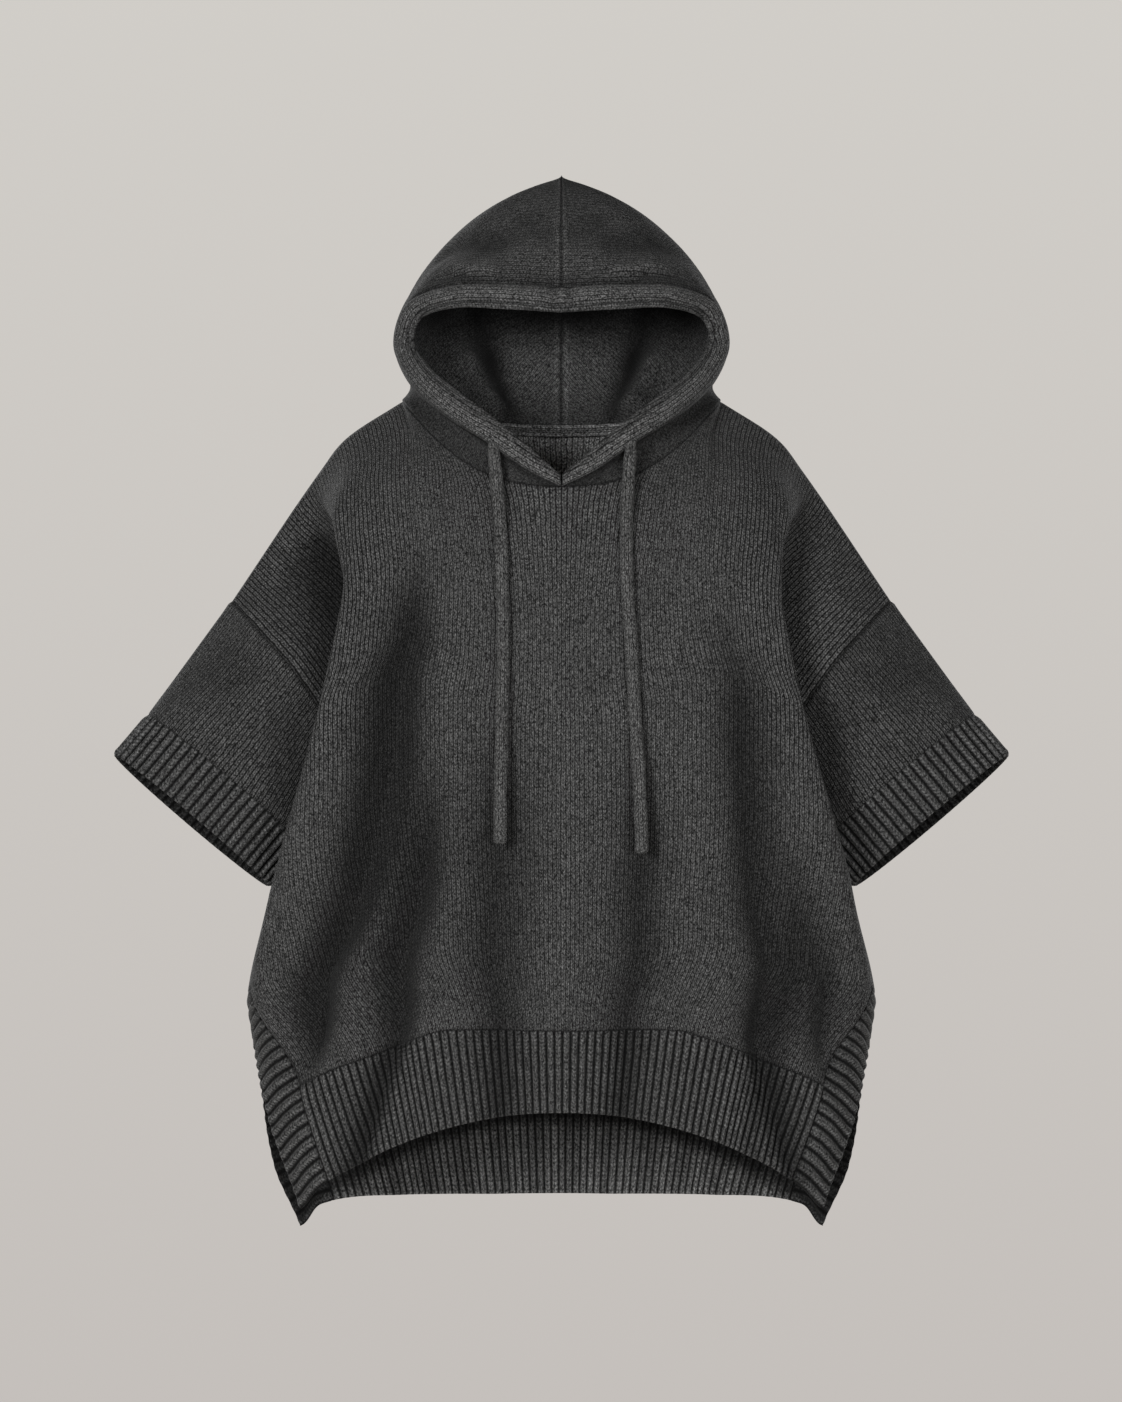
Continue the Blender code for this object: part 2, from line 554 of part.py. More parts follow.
def cloth_mesh(name, points, mitres, cells, rise=0.0, half_thick=WALL / 2):
    """A closed wall: a grid laid on the outer side, extruded through to the inner side."""
    rise = np.broadcast_to(rise, points.shape[:2])
    half_thick = np.broadcast_to(half_thick, points.shape[:2])
    rows, columns = points.shape[:2]
    closed = bool(np.allclose(points[:, 0], points[:, -1]))
    bm = bmesh.new()
    bmesh.ops.create_grid(bm, x_segments=columns - 1, y_segments=rows - 1, size=0.5)
    spot = bm.verts.layers.int.new("spot")
    for number, vert in enumerate(bm.verts):
        vert[spot] = number
    unused = []
    for face in bm.faces:
        corner = min(vert[spot] for vert in face.verts)
        if not cells[divmod(corner, columns)]:
            unused.append(face)
    bmesh.ops.delete(bm, geom=unused, context="FACES")
    if closed:
        by_number = {vert[spot]: vert for vert in bm.verts}
        last = {by_number[i * columns + columns - 1]: by_number[i * columns] for i in range(rows)}
        bmesh.ops.weld_verts(bm, targetmap=last)
    for vert in bm.verts:
        place = divmod(vert[spot], columns)
        vert.co = (points[place] + mitres[place] * (half_thick[place] + rise[place])) * MM
    pushed = bmesh.ops.extrude_face_region(bm, geom=bm.faces[:])["geom"]
    for vert in pushed:
        if isinstance(vert, bmesh.types.BMVert):
            place = divmod(vert[spot], columns)
            vert.co = (points[place] - mitres[place] * half_thick[place]) * MM
    split_rims(bm, {v for v in pushed if isinstance(v, bmesh.types.BMVert)})
    if not closed:
        split_faces(bm, spot, columns)
    bmesh.ops.recalc_face_normals(bm, faces=bm.faces[:])
    mesh = bpy.data.meshes.new(name)
    bm.to_mesh(mesh)
    bm.free()
    mesh.shade_smooth()
    return mesh


def split_rims(bm, inner):
    """Cut each rim face along the diagonal that the piece across the seam also takes."""
    for face in bm.faces[:]:
        outer = sorted((v for v in face.verts if v not in inner), key=seam_order)
        if len(face.verts) != 4 or len(outer) != 2:
            continue
        first = outer[0]
        opposite = next(v for v in face.verts if v in inner
                        and not any(v in e.verts for e in first.link_edges))
        bmesh.utils.face_split(face, first, opposite)


def split_faces(bm, spot, columns):
    """Cut each face of the grid along the diagonal that runs down and away from the middle."""
    for face in bm.faces[:]:
        by_number = {vert[spot]: vert for vert in face.verts}
        if len(by_number) != 4:
            continue
        corner = min(by_number)
        if face.calc_center_median().x > 0:
            ends = (corner, corner + columns + 1)
        else:
            ends = (corner + 1, corner + columns)
        bmesh.utils.face_split(face, by_number[ends[0]], by_number[ends[1]])


def seam_order(vert):
    return vert.co.x + 2 * vert.co.z + 3 * vert.co.y


def add_object(name, data, material):
    obj = bpy.data.objects.new(name, data)
    data.materials.append(material)
    bpy.context.scene.collection.objects.link(obj)
    return obj


def knit_material(name, colour, roughness):
    material = bpy.data.materials.new(name)
    material.use_nodes = True
    shader = material.node_tree.nodes["Principled BSDF"]
    shader.inputs["Base Color"].default_value = (*colour, 1.0)
    shader.inputs["Roughness"].default_value = roughness
    shader.inputs["Metallic"].default_value = 0.0
    return material


# =============================================================================================
# pieces
# =============================================================================================
def panel_pieces(panel):
    """The panel and, cut from the same drape, its ribbed hem and its two slit bands."""
    points = panel_points(panel, PANEL_ACROSS, PANEL_DOWN)
    middle = len(PANEL_ACROSS) - 1
    band = PANEL_ACROSS.index(BAND_SEAM)
    slit = PANEL_DOWN.index(SLIT_TOP)
    hem = PANEL_DOWN.index(HEM_SEAM)
    outward = -1 if panel == "front" else 1
    cells = np.ones((len(PANEL_DOWN) - 1, 2 * middle), dtype=bool)
    cells[hem:, :] = False
    cells[slit:, :middle - band] = False
    cells[slit:, middle + band:] = False
    body = Cloth(f"{panel}_panel", points.copy(), outward, cells)
    rib = Cloth(f"{panel}_hem_rib", points[hem:, middle - band:middle + band + 1].copy(), outward)
    left = Cloth(f"{panel}_slit_band_left", points[slit:, :middle - band + 1].copy(), outward)
    right = Cloth(f"{panel}_slit_band_right", points[slit:, middle + band:].copy(), outward)
    return body, rib, left, right


def casing_points():
    """The rolled casing round the face opening, from the throat up over the brim and back."""
    rows = np.array(HOOD_OPENING)
    sewn = sectioned(rows[:, :3], (0, OPENING_CORNER, -1), OPENING_SPANS)
    free = sectioned(rows[:, 3:], (0, OPENING_CORNER, -1), OPENING_SPANS)
    half = np.array([sewn + (free - sewn) * across for across, _ in CASING_PROFILE])
    half = half.transpose(1, 0, 2)
    mirrored = half[-2::-1] * (-1.0, 1.0, 1.0)
    return np.concatenate([half, mirrored])


def tape_mesh(name):
    """The tape that covers the neck seam, inside the back of the neck."""
    inward = WALL / 2 + SEAM_GAP + TAPE_THICK
    reach = BACK_NECK_REACH - inward
    points, mitres = [], []
    for height in (TAPE_HEIGHT * 0.35, -TAPE_HEIGHT * 0.65):
        row, outs = [], []
        for x in np.linspace(-TAPE_HALF_LENGTH, TAPE_HALF_LENGTH, 9):
            turn = abs(x) / NECK_HALF_WIDTH
            y = reach * (1 - turn * turn) ** 0.5
            z = -BACK_NECK_DROP * (1 - turn ** NECK_ROUNDNESS) + height
            out = np.array((x / NECK_HALF_WIDTH, (1 - turn * turn) ** 0.5, 0.0))
            row.append((x, y, z))
            outs.append(out / np.linalg.norm(out))
        points.append(row)
        mitres.append(outs)
    points, mitres = np.array(points), np.array(mitres)
    cells = np.ones((points.shape[0] - 1, points.shape[1] - 1), dtype=bool)
    return cloth_mesh(name, points, mitres, cells, half_thick=TAPE_THICK / 2)


def cord_curve(name, route):
    curve = bpy.data.curves.new(name, "CURVE")
    curve.dimensions = "3D"
    curve.bevel_depth = CORD_RADIUS * MM
    curve.bevel_resolution = 2
    curve.use_fill_caps = True
    points = through(route, count=CORD_POINTS)
    spline = curve.splines.new("POLY")
    spline.points.add(len(points) - 1)
    for knot, point in zip(spline.points, points):
        knot.co = (*(point * MM), 1.0)
    return curve


def build():
    for obj in list(bpy.data.objects):
        bpy.data.objects.remove(obj, do_unlink=True)
    charcoal = (0.048, 0.048, 0.047)
    pieces = []
    for panel in ("front", "back"):
        pieces += panel_pieces(panel)
    for name, side in (("left", -1), ("right", 1)):
        pieces.append(Cloth(f"sleeve_{name}", sleeve_points(side), side))
        pieces.append(Cloth(f"cuff_{name}", cuff_points(side), side))
        pieces.append(hood_cloth(f"hood_{name}", side))
    pieces.append(Cloth("hood_casing", casing_points(), -1))
    set_mitres(pieces)
    for piece in pieces:
        piece.pull_in()
        points, mitres, cells = piece.points, piece.mitres, piece.cells
        rise, half_thick = 0.0, WALL / 2
        if "hem_rib" in piece.name:
            points, mitres, raised = ribbed(piece, seam_row_pitch=HEM_RIB)
        elif "cuff" in piece.name:
            points, mitres, raised = ribbed(piece, seam_row_pitch=CUFF_RIB)
        elif "slit_band" in piece.name:
            points, mitres, raised = ribbed(piece, seam_column_pitch=SLIT_RIB)
        if points is not piece.points:
            rise = (raised - 0.5) * RIB_RISE
            cells = np.ones((points.shape[0] - 1, points.shape[1] - 1), dtype=bool)
        if piece.name == "hood_casing":
            half_thick = [thick for _, thick in CASING_PROFILE]
        mesh = cloth_mesh(piece.name, points, mitres, cells, rise, half_thick)
        add_object(piece.name, mesh, knit_material(piece.name, charcoal, 0.95))
    add_object("neck_tape", tape_mesh("neck_tape"), knit_material("neck_tape", charcoal, 0.95))
    for name, route in CORD_ROUTES.items():
        title = f"drawstring_{name}"
        add_object(title, cord_curve(title, route), knit_material(title, charcoal, 0.9))


build()
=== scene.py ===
"""Hooded poncho sweater in chunky charcoal marl wool, hollow and filled out as if worn.

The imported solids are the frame.  Every one of them is cloth or cord, so each is replaced by a
knitted piece of the same form with finer folds, ribs, seams and stitches.  Lengths in the tables
are in millimetres, and are turned into metres when a mesh is made.  A place on a body panel is
(across, down): across runs from -1 at the left edge to 1 at the right one, and down from 0 at
the neckline and shoulder seam to 1 at the hem.
"""

import json
from collections import namedtuple
from math import cos, pi, radians, sin

import bmesh
import bpy
import numpy as np
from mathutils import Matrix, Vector

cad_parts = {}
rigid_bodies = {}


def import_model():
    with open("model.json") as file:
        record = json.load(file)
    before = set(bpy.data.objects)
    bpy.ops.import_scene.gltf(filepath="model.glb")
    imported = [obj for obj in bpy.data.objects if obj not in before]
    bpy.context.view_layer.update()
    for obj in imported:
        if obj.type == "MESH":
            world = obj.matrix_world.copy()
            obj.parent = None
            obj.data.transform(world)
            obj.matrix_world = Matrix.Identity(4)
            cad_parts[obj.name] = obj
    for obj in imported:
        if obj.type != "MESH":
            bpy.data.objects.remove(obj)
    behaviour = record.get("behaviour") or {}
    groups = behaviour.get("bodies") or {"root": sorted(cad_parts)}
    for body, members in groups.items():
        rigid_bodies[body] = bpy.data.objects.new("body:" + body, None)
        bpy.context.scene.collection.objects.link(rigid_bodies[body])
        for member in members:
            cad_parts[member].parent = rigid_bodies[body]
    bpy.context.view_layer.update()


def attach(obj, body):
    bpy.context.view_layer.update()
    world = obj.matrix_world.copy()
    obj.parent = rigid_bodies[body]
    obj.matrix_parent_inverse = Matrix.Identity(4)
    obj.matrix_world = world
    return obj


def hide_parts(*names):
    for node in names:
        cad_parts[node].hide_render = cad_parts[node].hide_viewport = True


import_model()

MM = 0.001
WALL = 3.0  # thickness of the knitted cloth

# ---- neck, shoulders and hem ----
PANEL_HALF_WIDTH = 355.0  # flat half width of the front and of the back
NECK_HALF_WIDTH = 134.5
NECK_REACH = {"front": -104.0, "back": 80.0}  # y of the neckline at the centre
NECK_DROP = {"front": 75.0, "back": 20.0}
NECK_ROUNDNESS = 2.5  # 2 is an ellipse, more is squarer
NECK_CROWDING = 1.35  # how the wales crowd towards the ends of the neckline
NECK_ACROSS = NECK_HALF_WIDTH / PANEL_HALF_WIDTH
SHOULDER = ((134.5, 0.0), (184.0, -33.0), (205.0, -60.0), (279.5, -170.0))  # (x, z)
HEM = {"front": (-596.0, -84.0, 2.0), "back": (-682.0, 2.0, 4.0)}  # z, further drop, power
BACK_CORNER_DROP = 20.0  # how far the back hem's corner hangs below the front's
FRONT_EDGE_TUCK = 8.0  # how far the front's slit edge comes to lie inside the back's
BACK_TIP = (9.0, 5.0, 6.0)  # how far the back's corner tip rolls in, forward and down
TIP_ACROSS, TIP_DOWN = 0.88, 0.93  # places from which it does
BACK_CORNER_SPREAD = 7.0  # how far it lies outside the front's
BACK_CORNER_START = 0.6  # place across where the back hem starts to drop
BACK_CORNER_POWER = 6
TOP_BLEND = 0.28  # how far down the neckline and shoulder shape the drape
CHEST_PLACE = 0.52  # a place between the centre line and the fold by the sleeve
CHEST_SHARE = 0.4  # its depth, from the centre line's 0 to the fold's 1
CHEST_FULLNESS = 4.0  # how far it stands out beyond that
LIFT_START = 0.5  # place across where the levels start to rise to the edge

# ---- levels of the drape ----
# front_y, back_y: depth at the centre line.  ridge: the fold that stands in front of the
# sleeve.  tuck: the deepest point behind that fold.  edge: armhole, side seam, then slit.
# lift: how far the edge lies above an even spacing of the levels.
Course = namedtuple("Course", "down front_y back_y ridge_x ridge_y tuck_x tuck_y "
                              "edge_x edge_y lift")
COURSES = (
    (0.00, -104,  80, 168,  -14, 200,  -8, 279,   0,  0),
    (0.10, -115, 100, 175,  -86, 165, -56, 254, -44, 25),
    (0.20, -121, 112, 180, -110, 148, -70, 226, -62, 44),
    (0.30, -125, 118, 192, -118, 145, -64, 200, -48, 55),
    (0.38, -128, 122, 203, -120, 153, -46, 177,   0, 40),
    (0.50, -132, 126, 222, -118, 194, -48, 199,   0, 35),
    (0.62, -137, 130, 241, -102, 234, -46, 232,   0, 33),
    (0.74, -142, 134, 249,  -84, 263, -36, 261,   0, 29),
    (0.87, -144, 136, 214,  -98, 236, -84, 251, -64, 12),
    (1.00, -144, 136, 188, -108, 211, -98, 227, -84,  0),
)
UNDERARM = 0.38  # level where the armhole ends and the side seam starts
SLIT_TOP = 0.74  # level where the side seam ends and the slit starts
HEM_SEAM = 0.87  # level where the ribbed hem starts
BAND_SEAM = 0.84  # place across where the ribbed slit band starts
BACK_DEPTH = 0.94  # depth of the folds behind the sleeves, to those in front

# ---- large soft folds ----
# top_across and hem_across are places across, at the fold's start and at the hem.  depth is
# inwards.  inner and outer are the fold's reach to the centre line's side, where it is steep, and
# to the other, as shares of the half panel.  end is the level where the fold has died out; more
# than 1 runs through the hem.
Fold = namedtuple("Fold", "side top_down top_across hem_across bend depth inner outer end")
FOLDS = {
    "front": (
        (-1, 0.12, 0.372, 1.20, 3.9, 37.0, 0.055, 0.095, 0.91),
        (-1, 0.40, 0.300, 0.725, 2.7, 34.0, 0.055, 0.085, 1.50),
        (-1, 0.30, 0.130, 0.22, 1.5, 22.0, 0.105, 0.085, 1.50),
        (-1, -0.12, 0.700, 0.98, 1.0, 37.0, 0.042, 0.160, 0.55),
        (1, 0.18, 0.425, 0.83, 4.0, 26.0, 0.055, 0.095, 1.50),
        (1, 0.50, 0.560, 0.65, 1.0, 12.0, 0.050, 0.090, 1.50),
        (1, 0.34, 0.190, 0.21, 1.0, 22.0, 0.080, 0.080, 1.50),
        (1, 0.52, 0.580, 1.18, 2.4, 20.0, 0.055, 0.085, 0.92),
        (1, -0.02, 0.730, 0.98, 1.0, 23.0, 0.042, 0.110, 0.55),
    ),
    "back": (
        (-1, 0.15, 0.36, 0.64, 1.9, 24.0, 0.070, 0.110, 1.50),
        (-1, 0.40, 0.15, 0.26, 1.2, 15.0, 0.080, 0.090, 1.50),
        (1, 0.22, 0.40, 0.60, 1.7, 26.0, 0.070, 0.115, 1.50),
        (1, 0.45, 0.20, 0.19, 1.0, 14.0, 0.080, 0.085, 1.50),
        (1, 0.50, 0.66, 1.15, 2.4, 16.0, 0.060, 0.085, 0.92),
        (-1, 0.55, 0.62, 1.12, 2.4, 15.0, 0.060, 0.085, 0.92),
    ),
}
FOLD_SHARPNESS = 1.55  # 2 is a round trough, less is a tighter one
FOLD_GROWTH = 0.30  # how far down a fold takes to reach its full depth
FOLD_DYING = 0.12  # how far above its end a fold starts to die out
HEM_FLATTENS = 0.68  # share of its depth that a fold loses over the ribbed hem
HEM_FLATTENING = (0.78, 0.14)  # level where it starts to, and how far down it takes
SEAM_HOLD = 0.07  # how far down from the top seams the folds grow from nothing
FOLD_SHADE = 0.71  # share of the colour's light that painted shade takes away in the deepest folds
FOLD_DEEP = 28.0  # depth at which the painted shade is deepest
FOLD_CLEAR = 0.08  # strip along the seams that the folds leave smooth

# ---- small creases: soft troughs, or ridges where the depth is negative ----
# across is signed here.  Each runs straight from its top to its bottom and fades at both ends.
Crease = namedtuple("Crease", "top_down top_across end_down end_across depth width")
CREASES = {
    "front": (
        (0.02, -0.47, 0.30, -0.66, 2.6, 0.030),
        (0.05, -0.60, 0.34, -0.80, 2.2, 0.034),
        (0.10, -0.30, 0.46, -0.33, 1.6, 0.040),
        (0.30, -0.26, 0.72, -0.30, -2.0, 0.040),
        (0.46, -0.08, 0.86, -0.09, 1.5, 0.032),
        (0.04,  0.50, 0.32,  0.70, 2.4, 0.030),
        (0.12,  0.62, 0.37,  0.83, 2.0, 0.030),
        (0.16,  0.27, 0.44,  0.29, 1.4, 0.036),
        (0.38,  0.24, 0.80,  0.28, -1.8, 0.040),
        (0.52,  0.06, 0.88,  0.07, 1.4, 0.030),
        (0.44,  0.60, 0.84,  0.66, -2.2, 0.035),
        (0.50, -0.70, 0.86, -0.72, 2.4, 0.035),
        (0.62,  0.36, 0.98,  0.37, 1.6, 0.030),
        (0.66, -0.34, 0.98, -0.36, 1.7, 0.030),
    ),
    "back": (
        (0.03, -0.46, 0.30, -0.64, 2.4, 0.032),
        (0.06, -0.62, 0.35, -0.82, 2.0, 0.032),
        (0.03,  0.48, 0.31,  0.67, 2.5, 0.031),
        (0.09,  0.61, 0.36,  0.80, 2.1, 0.032),
        (0.06, -0.16, 0.40, -0.18, 1.6, 0.036),
        (0.08,  0.14, 0.44,  0.13, 1.8, 0.034),
        (0.34, -0.02, 0.80, -0.03, 1.8, 0.034),
        (0.46,  0.31, 0.86,  0.34, -2.0, 0.040),
        (0.44, -0.33, 0.88, -0.38, -2.0, 0.038),
        (0.58,  0.56, 0.96,  0.60, 2.0, 0.034),
        (0.60, -0.68, 0.97, -0.70, 2.2, 0.034),
    ),
}
CREASE_FADE = 0.35  # share of a crease's length that each end takes to fade
CREASE_SWAY = 0.012  # how far across a crease strays from its straight line

# ---- ribbing ----
HEM_RIB = 7.1  # from rib to rib
SLIT_RIB = 10.0
CUFF_RIB = 8.2
RIB_TOP = 1.5  # how far a rib stands above the middle of the wall's face
RIB_GROOVE = 1.2  # how far the groove lies below it
RIB_TAPER = 7.0  # the ribs rise out of the plain knit over this length
# across one rib: place, and height from the groove's 0 to the rib's 1
RIB_SHAPE = ((0.0, 0.0), (0.12, 0.02), (0.24, 0.42), (0.36, 0.9),
             (0.5, 1.0), (0.64, 0.9), (0.76, 0.42), (0.88, 0.02))

# ---- sleeves and cuffs ----
CUFF_TIP = (379.5, 0.0, -301.0)  # upper end of the cuff's opening
CUFF_HEEL = (250.0, 0.0, -411.0)  # lower end
CUFF_DEPTH = 45.0
CUFF_HALF_DEEP = 40.0  # half of the opening's depth, front to back
CUFF_SEAM_HALF_DEEP = 46.0
CUFF_SKEW = 6.0  # the back of the cuff hangs lower than its front

# ---- hood ----
# The edge sewn to the casing and the casing's free edge, from the throat up to the brim.
Opening = namedtuple("Opening", "sewn_x sewn_y sewn_z free_x free_y free_z")
HOOD_OPENING = (
    (0.0,  -104.0, -75.0,   1.0, -109.0, -65.0),
    (27.0, -108.0, -62.0,  22.0, -115.0, -47.0),
    (62.0, -104.0, -38.0,  54.0, -112.0, -20.0),
    (96.0,  -88.0, -16.0,  84.0,  -98.0,   3.0),
    (128.0, -58.0,  15.0, 112.0,  -68.0,  28.0),
    (140.0, -30.0,  50.0, 125.0,  -44.0,  52.0),
    (130.0, -34.0,  79.0, 120.0,  -50.0,  67.0),
    (94.0,  -64.0,  94.0,  88.0,  -80.0,  76.0),
    (50.0,  -82.0,  94.0,  48.0,  -97.0,  74.0),
    (0.0,   -88.0,  91.0,   0.0, -102.0,  71.0),
)
OPENING_CORNER = 6  # the row where the cheek turns into the brim
# Levels of one half of the hood.  front: the crown seam, used above the brim.  side: the
# widest place.  back: the seam behind the head.
HoodLevel = namedtuple("HoodLevel", "front_y front_z side_x side_y side_z back_y back_z")
HOOD_CHEEK = (
    (0, 0, 134.5, 0.0, 0.0, 80.0, -20.0),
    (0, 0, 127.0, 0.0, 12.0, 94.0, 0.0),
    (0, 0, 132.0, 2.0, 28.0, 102.0, 20.0),
    (0, 0, 140.5, 6.0, 46.0, 109.0, 45.0),
    (0, 0, 139.0, 10.0, 65.0, 114.0, 72.0),
    (0, 0, 130.0, 13.0, 86.0, 115.0, 98.0),
)
HOOD_CROWN = (
    (-88.0, 91.0, 130.0, 13.0, 86.0, 115.0, 98.0),
    (-76.0, 116.0, 116.0, 12.0, 111.0, 112.0, 122.0),
    (-50.0, 148.0, 94.5, 14.0, 137.0, 104.0, 147.0),
    (-16.0, 177.0, 62.0, 24.0, 163.0, 90.0, 169.0),
    (24.0, 194.0, 0.0, 46.0, 191.0, 68.0, 186.0),
)
LEVEL_SPACING = 40.0  # nominal length from level to level
HOOD_QUARTER = 0.74  # how full the hood is between its side and its seams
NECK_BLEND = 1 / 3  # share of the cheek's height that follows the neckline
CROWN_EASE = 1.5  # how fast the crown's levels leave the cheek's last one
# Straight lines on the hood, from one end to the other; side 0 is both.  Creases press it in by
# their depth in mm.  The painted shadows are not shape: painted shade on the inside, behind the
# creases and under the brim, which takes that share of the light.
HoodLine = namedtuple("HoodLine", "side from_x from_y from_z to_x to_y to_z depth width")
HOOD_CREASES = (
    (0,   92,  70, 108,  80,  76,  40, 27.0, 16.0),
    (0,   80,  76,  40,  60,  76, -14, 25.0, 14.0),
    (-1, 114, -56, 104,  84, -68, 100,  8.0,  7.0),
    (-1,  96, -60, 114,  64, -76, 104, -6.5,  8.0),
    (-1, 104, -20, 132,  56, -54, 136,  7.5, 17.0),
    (1,  106, -62, 100,  74, -72, 101,  7.5,  6.5),
    (1,   88, -66, 110,  50, -78, 104, -6.0,  8.0),
    (1,   96, -30, 136,  46, -58, 134,  6.5, 17.0),
    (0,   30, -40, 156,  12, -56, 140,  4.0, 14.0),
)
HOOD_PAINTED_SHADOWS = (
    (0, 74, 92, 110, 64, 92,  40, 0.96, 16.0),
    (0, 64, 92,  40, 46, 86, -16, 0.92, 12.0),
    (0, 0,  116, 82, 100, 70, 82, 0.92, 25.0),
    (0, 100, 70, 82, 132, 10, 78, 0.90, 24.0),
)
# across the casing, from the sewn edge to the free one: place, and half thickness outside and
# inside.  The stitching that closes it lies near the free edge.
CASING_PROFILE = ((0.0, 1.0, 1.2), (0.05, 3.2, 2.2), (0.11, 5.2, 3.4), (0.20, 6.8, 4.2),
                  (0.33, 7.6, 4.8), (0.48, 7.7, 4.9), (0.62, 7.0, 4.7), (0.73, 5.8, 4.2),
                  (0.80, 4.4, 3.4), (0.835, 2.7, 2.4), (0.87, 3.3, 2.8), (0.93, 3.0, 2.6),
                  (0.98, 1.7, 1.7), (1.0, 0.5, 0.5))
# across the casing: place, and share of light: a painted highlight on its round top, painted shade
# at the sewn edge and in the stitching
CASING_SHADE = ((0.0, 0.3), (0.05, 0.55), (0.11, 0.95), (0.20, 1.3), (0.48, 1.5), (0.73, 1.35),
                (0.80, 1.0), (0.835, 0.45), (0.87, 1.1), (1.0, 0.9))

# ---- neck tape and drawstrings ----
TAPE_HALF_LENGTH = 56.0
TAPE_HEIGHT = 11.0
TAPE_THICK = 1.6
CORD_RADIUS = 5.4
CORD_ROUTES = {
    "left": ((-57.3, -113.2, -38.0), (-54.5, -110.8, -68.0), (-51.5, -116.3, -100.0),
             (-49.3, -127.0, -150.0), (-48.5, -132.3, -200.0), (-49.0, -136.4, -260.0),
             (-50.5, -139.0, -320.0), (-51.0, -139.4, -373.0)),
    "right": ((58.6, -113.2, -37.0), (56.0, -110.8, -68.0), (54.3, -116.5, -100.0),
              (54.5, -127.5, -150.0), (57.5, -132.7, -200.0), (61.0, -136.8, -260.0),
              (64.5, -139.4, -320.0), (67.0, -139.6, -381.0)),
}
CORD_LENGTH = {"left": 0.340, "right": 0.348}

# ---- seams: how a wall's face dips at its sewn edge and swells beside it ----
SEAM_LINES = (0.0, 1.8, 3.6, 6.5)  # distances from a seam at which the mesh has a line
SEAM_DIP = 1.0  # depth of the groove
SEAM_WELT = 0.35  # height of the swelling beside it
SEAM_DARK, DEEP_SEAM_DARK, RIB_SEAM_DARK = 0.55, 0.75, 0.3  # light that the painted shade in a groove takes away
MITRE_LIMIT = 2.2  # longest mitre at a seam, in half walls
MITRE_REACH = 3.0  # edges nearer than this are sewn together
BODY_STEP = 3.7  # spacing of the mesh on the plain knit
WALE = 3.8  # width of one column of stitches
COURSE = 3.0  # height of one row of stitches
LINED, SLEEVE_LINED = 0.25, 0.7  # how dark the painted shade between the columns of stitches is
SHOULDER_LINED, NECK_LINED = 0.65, 0.45  # how much more, and the share of that at the neck


# ---- camera ----
LENS = 180.0
FRAME_HEIGHT = 1.1917  # height of what the camera sees at the garment
EYE_LEVEL = -0.2542


def set_camera():
    camera = bpy.data.cameras.new("camera")
    camera.lens = LENS
    camera.sensor_width = 36.0
    viewer = bpy.data.objects.new("camera", camera)
    viewer.location = (-0.0004, -FRAME_HEIGHT * LENS / camera.sensor_width, EYE_LEVEL)
    viewer.rotation_euler = (radians(90), 0, 0)
    bpy.context.scene.collection.objects.link(viewer)
    bpy.context.scene.camera = viewer


set_camera()


# ---- curves ----
def run_length(points):
    """Length along a curve, or along each column of a grid, from its first point."""
    steps = np.linalg.norm(np.diff(points, axis=0), axis=-1)
    return np.concatenate([np.zeros((1, *steps.shape[1:])), np.cumsum(steps, axis=0)])


def through(points, count=None, at=None):
    """Points along a smooth curve through the given points, evenly spaced by length."""
    p = np.array(points, dtype=float)
    chord = np.concatenate([[0.0], np.cumsum(np.linalg.norm(np.diff(p, axis=0), axis=1) ** 0.5)])
    s = np.linspace(0, 1, 24, endpoint=False)[:, None]
    fine = []
    for k in range(len(p) - 1):
        before = p[k - 1] if k else 2 * p[0] - p[1]
        after = p[k + 2] if k + 2 < len(p) else 2 * p[-1] - p[-2]
        span = chord[k + 1] - chord[k]
        span_before = chord[k] - chord[k - 1] if k else span
        span_after = chord[k + 2] - chord[k + 1] if k + 2 < len(p) else span
        slope_a = ((p[k + 1] - p[k]) / span * span_before
                   + (p[k] - before) / span_before * span) / (span + span_before) * span
        slope_b = ((after - p[k + 1]) / span_after * span
                   + (p[k + 1] - p[k]) / span * span_after) / (span + span_after) * span
        fine.append(bend(s, p[k], slope_a, p[k + 1], slope_b))
    fine = np.concatenate(fine + [p[-1:]])
    length = run_length(fine)
    places = np.linspace(0, 1, count) if at is None else np.asarray(at, dtype=float)
    return np.stack([np.interp(places * length[-1], length, fine[:, c])
                     for c in range(p.shape[1])], axis=-1)


def bend(s, start, start_slope, end, end_slope):
    """A cubic from start to end, with a slope at each."""
    return ((2 * s**3 - 3 * s**2 + 1) * start + (s**3 - 2 * s**2 + s) * start_slope
            + (3 * s**2 - 2 * s**3) * end + (s**3 - s**2) * end_slope)


def smooth(value):
    """A soft step from 0 to 1."""
    value = np.clip(value, 0.0, 1.0)
    return value * value * (3 - 2 * value)


def past(value, start):
    """A soft step from 0 at the start to 1 at 1."""
    return smooth((value - start) / (1 - start))


def course_at(down):
    """The row of COURSES at any level, by a curve that never swings past its rows."""
    table = np.array(COURSES)
    levels = table[:, 0]
    k = min(max(np.searchsorted(levels, down) - 1, 0), len(levels) - 2)
    rise = np.diff(table, axis=0) / np.diff(levels)[:, None]

    def slope(n):
        if n == 0 or n == len(levels) - 1:
            return rise[min(n, len(rise) - 1)]
        before, after = rise[n - 1], rise[n]
        agree = before * after > 0
        total = np.where(agree, before + after, 1.0)
        return np.where(agree, 2 * before * after / total, 0.0)

    span = levels[k + 1] - levels[k]
    s = (down - levels[k]) / span
    return Course(*bend(s, table[k], span * slope(k), table[k + 1], span * slope(k + 1)))


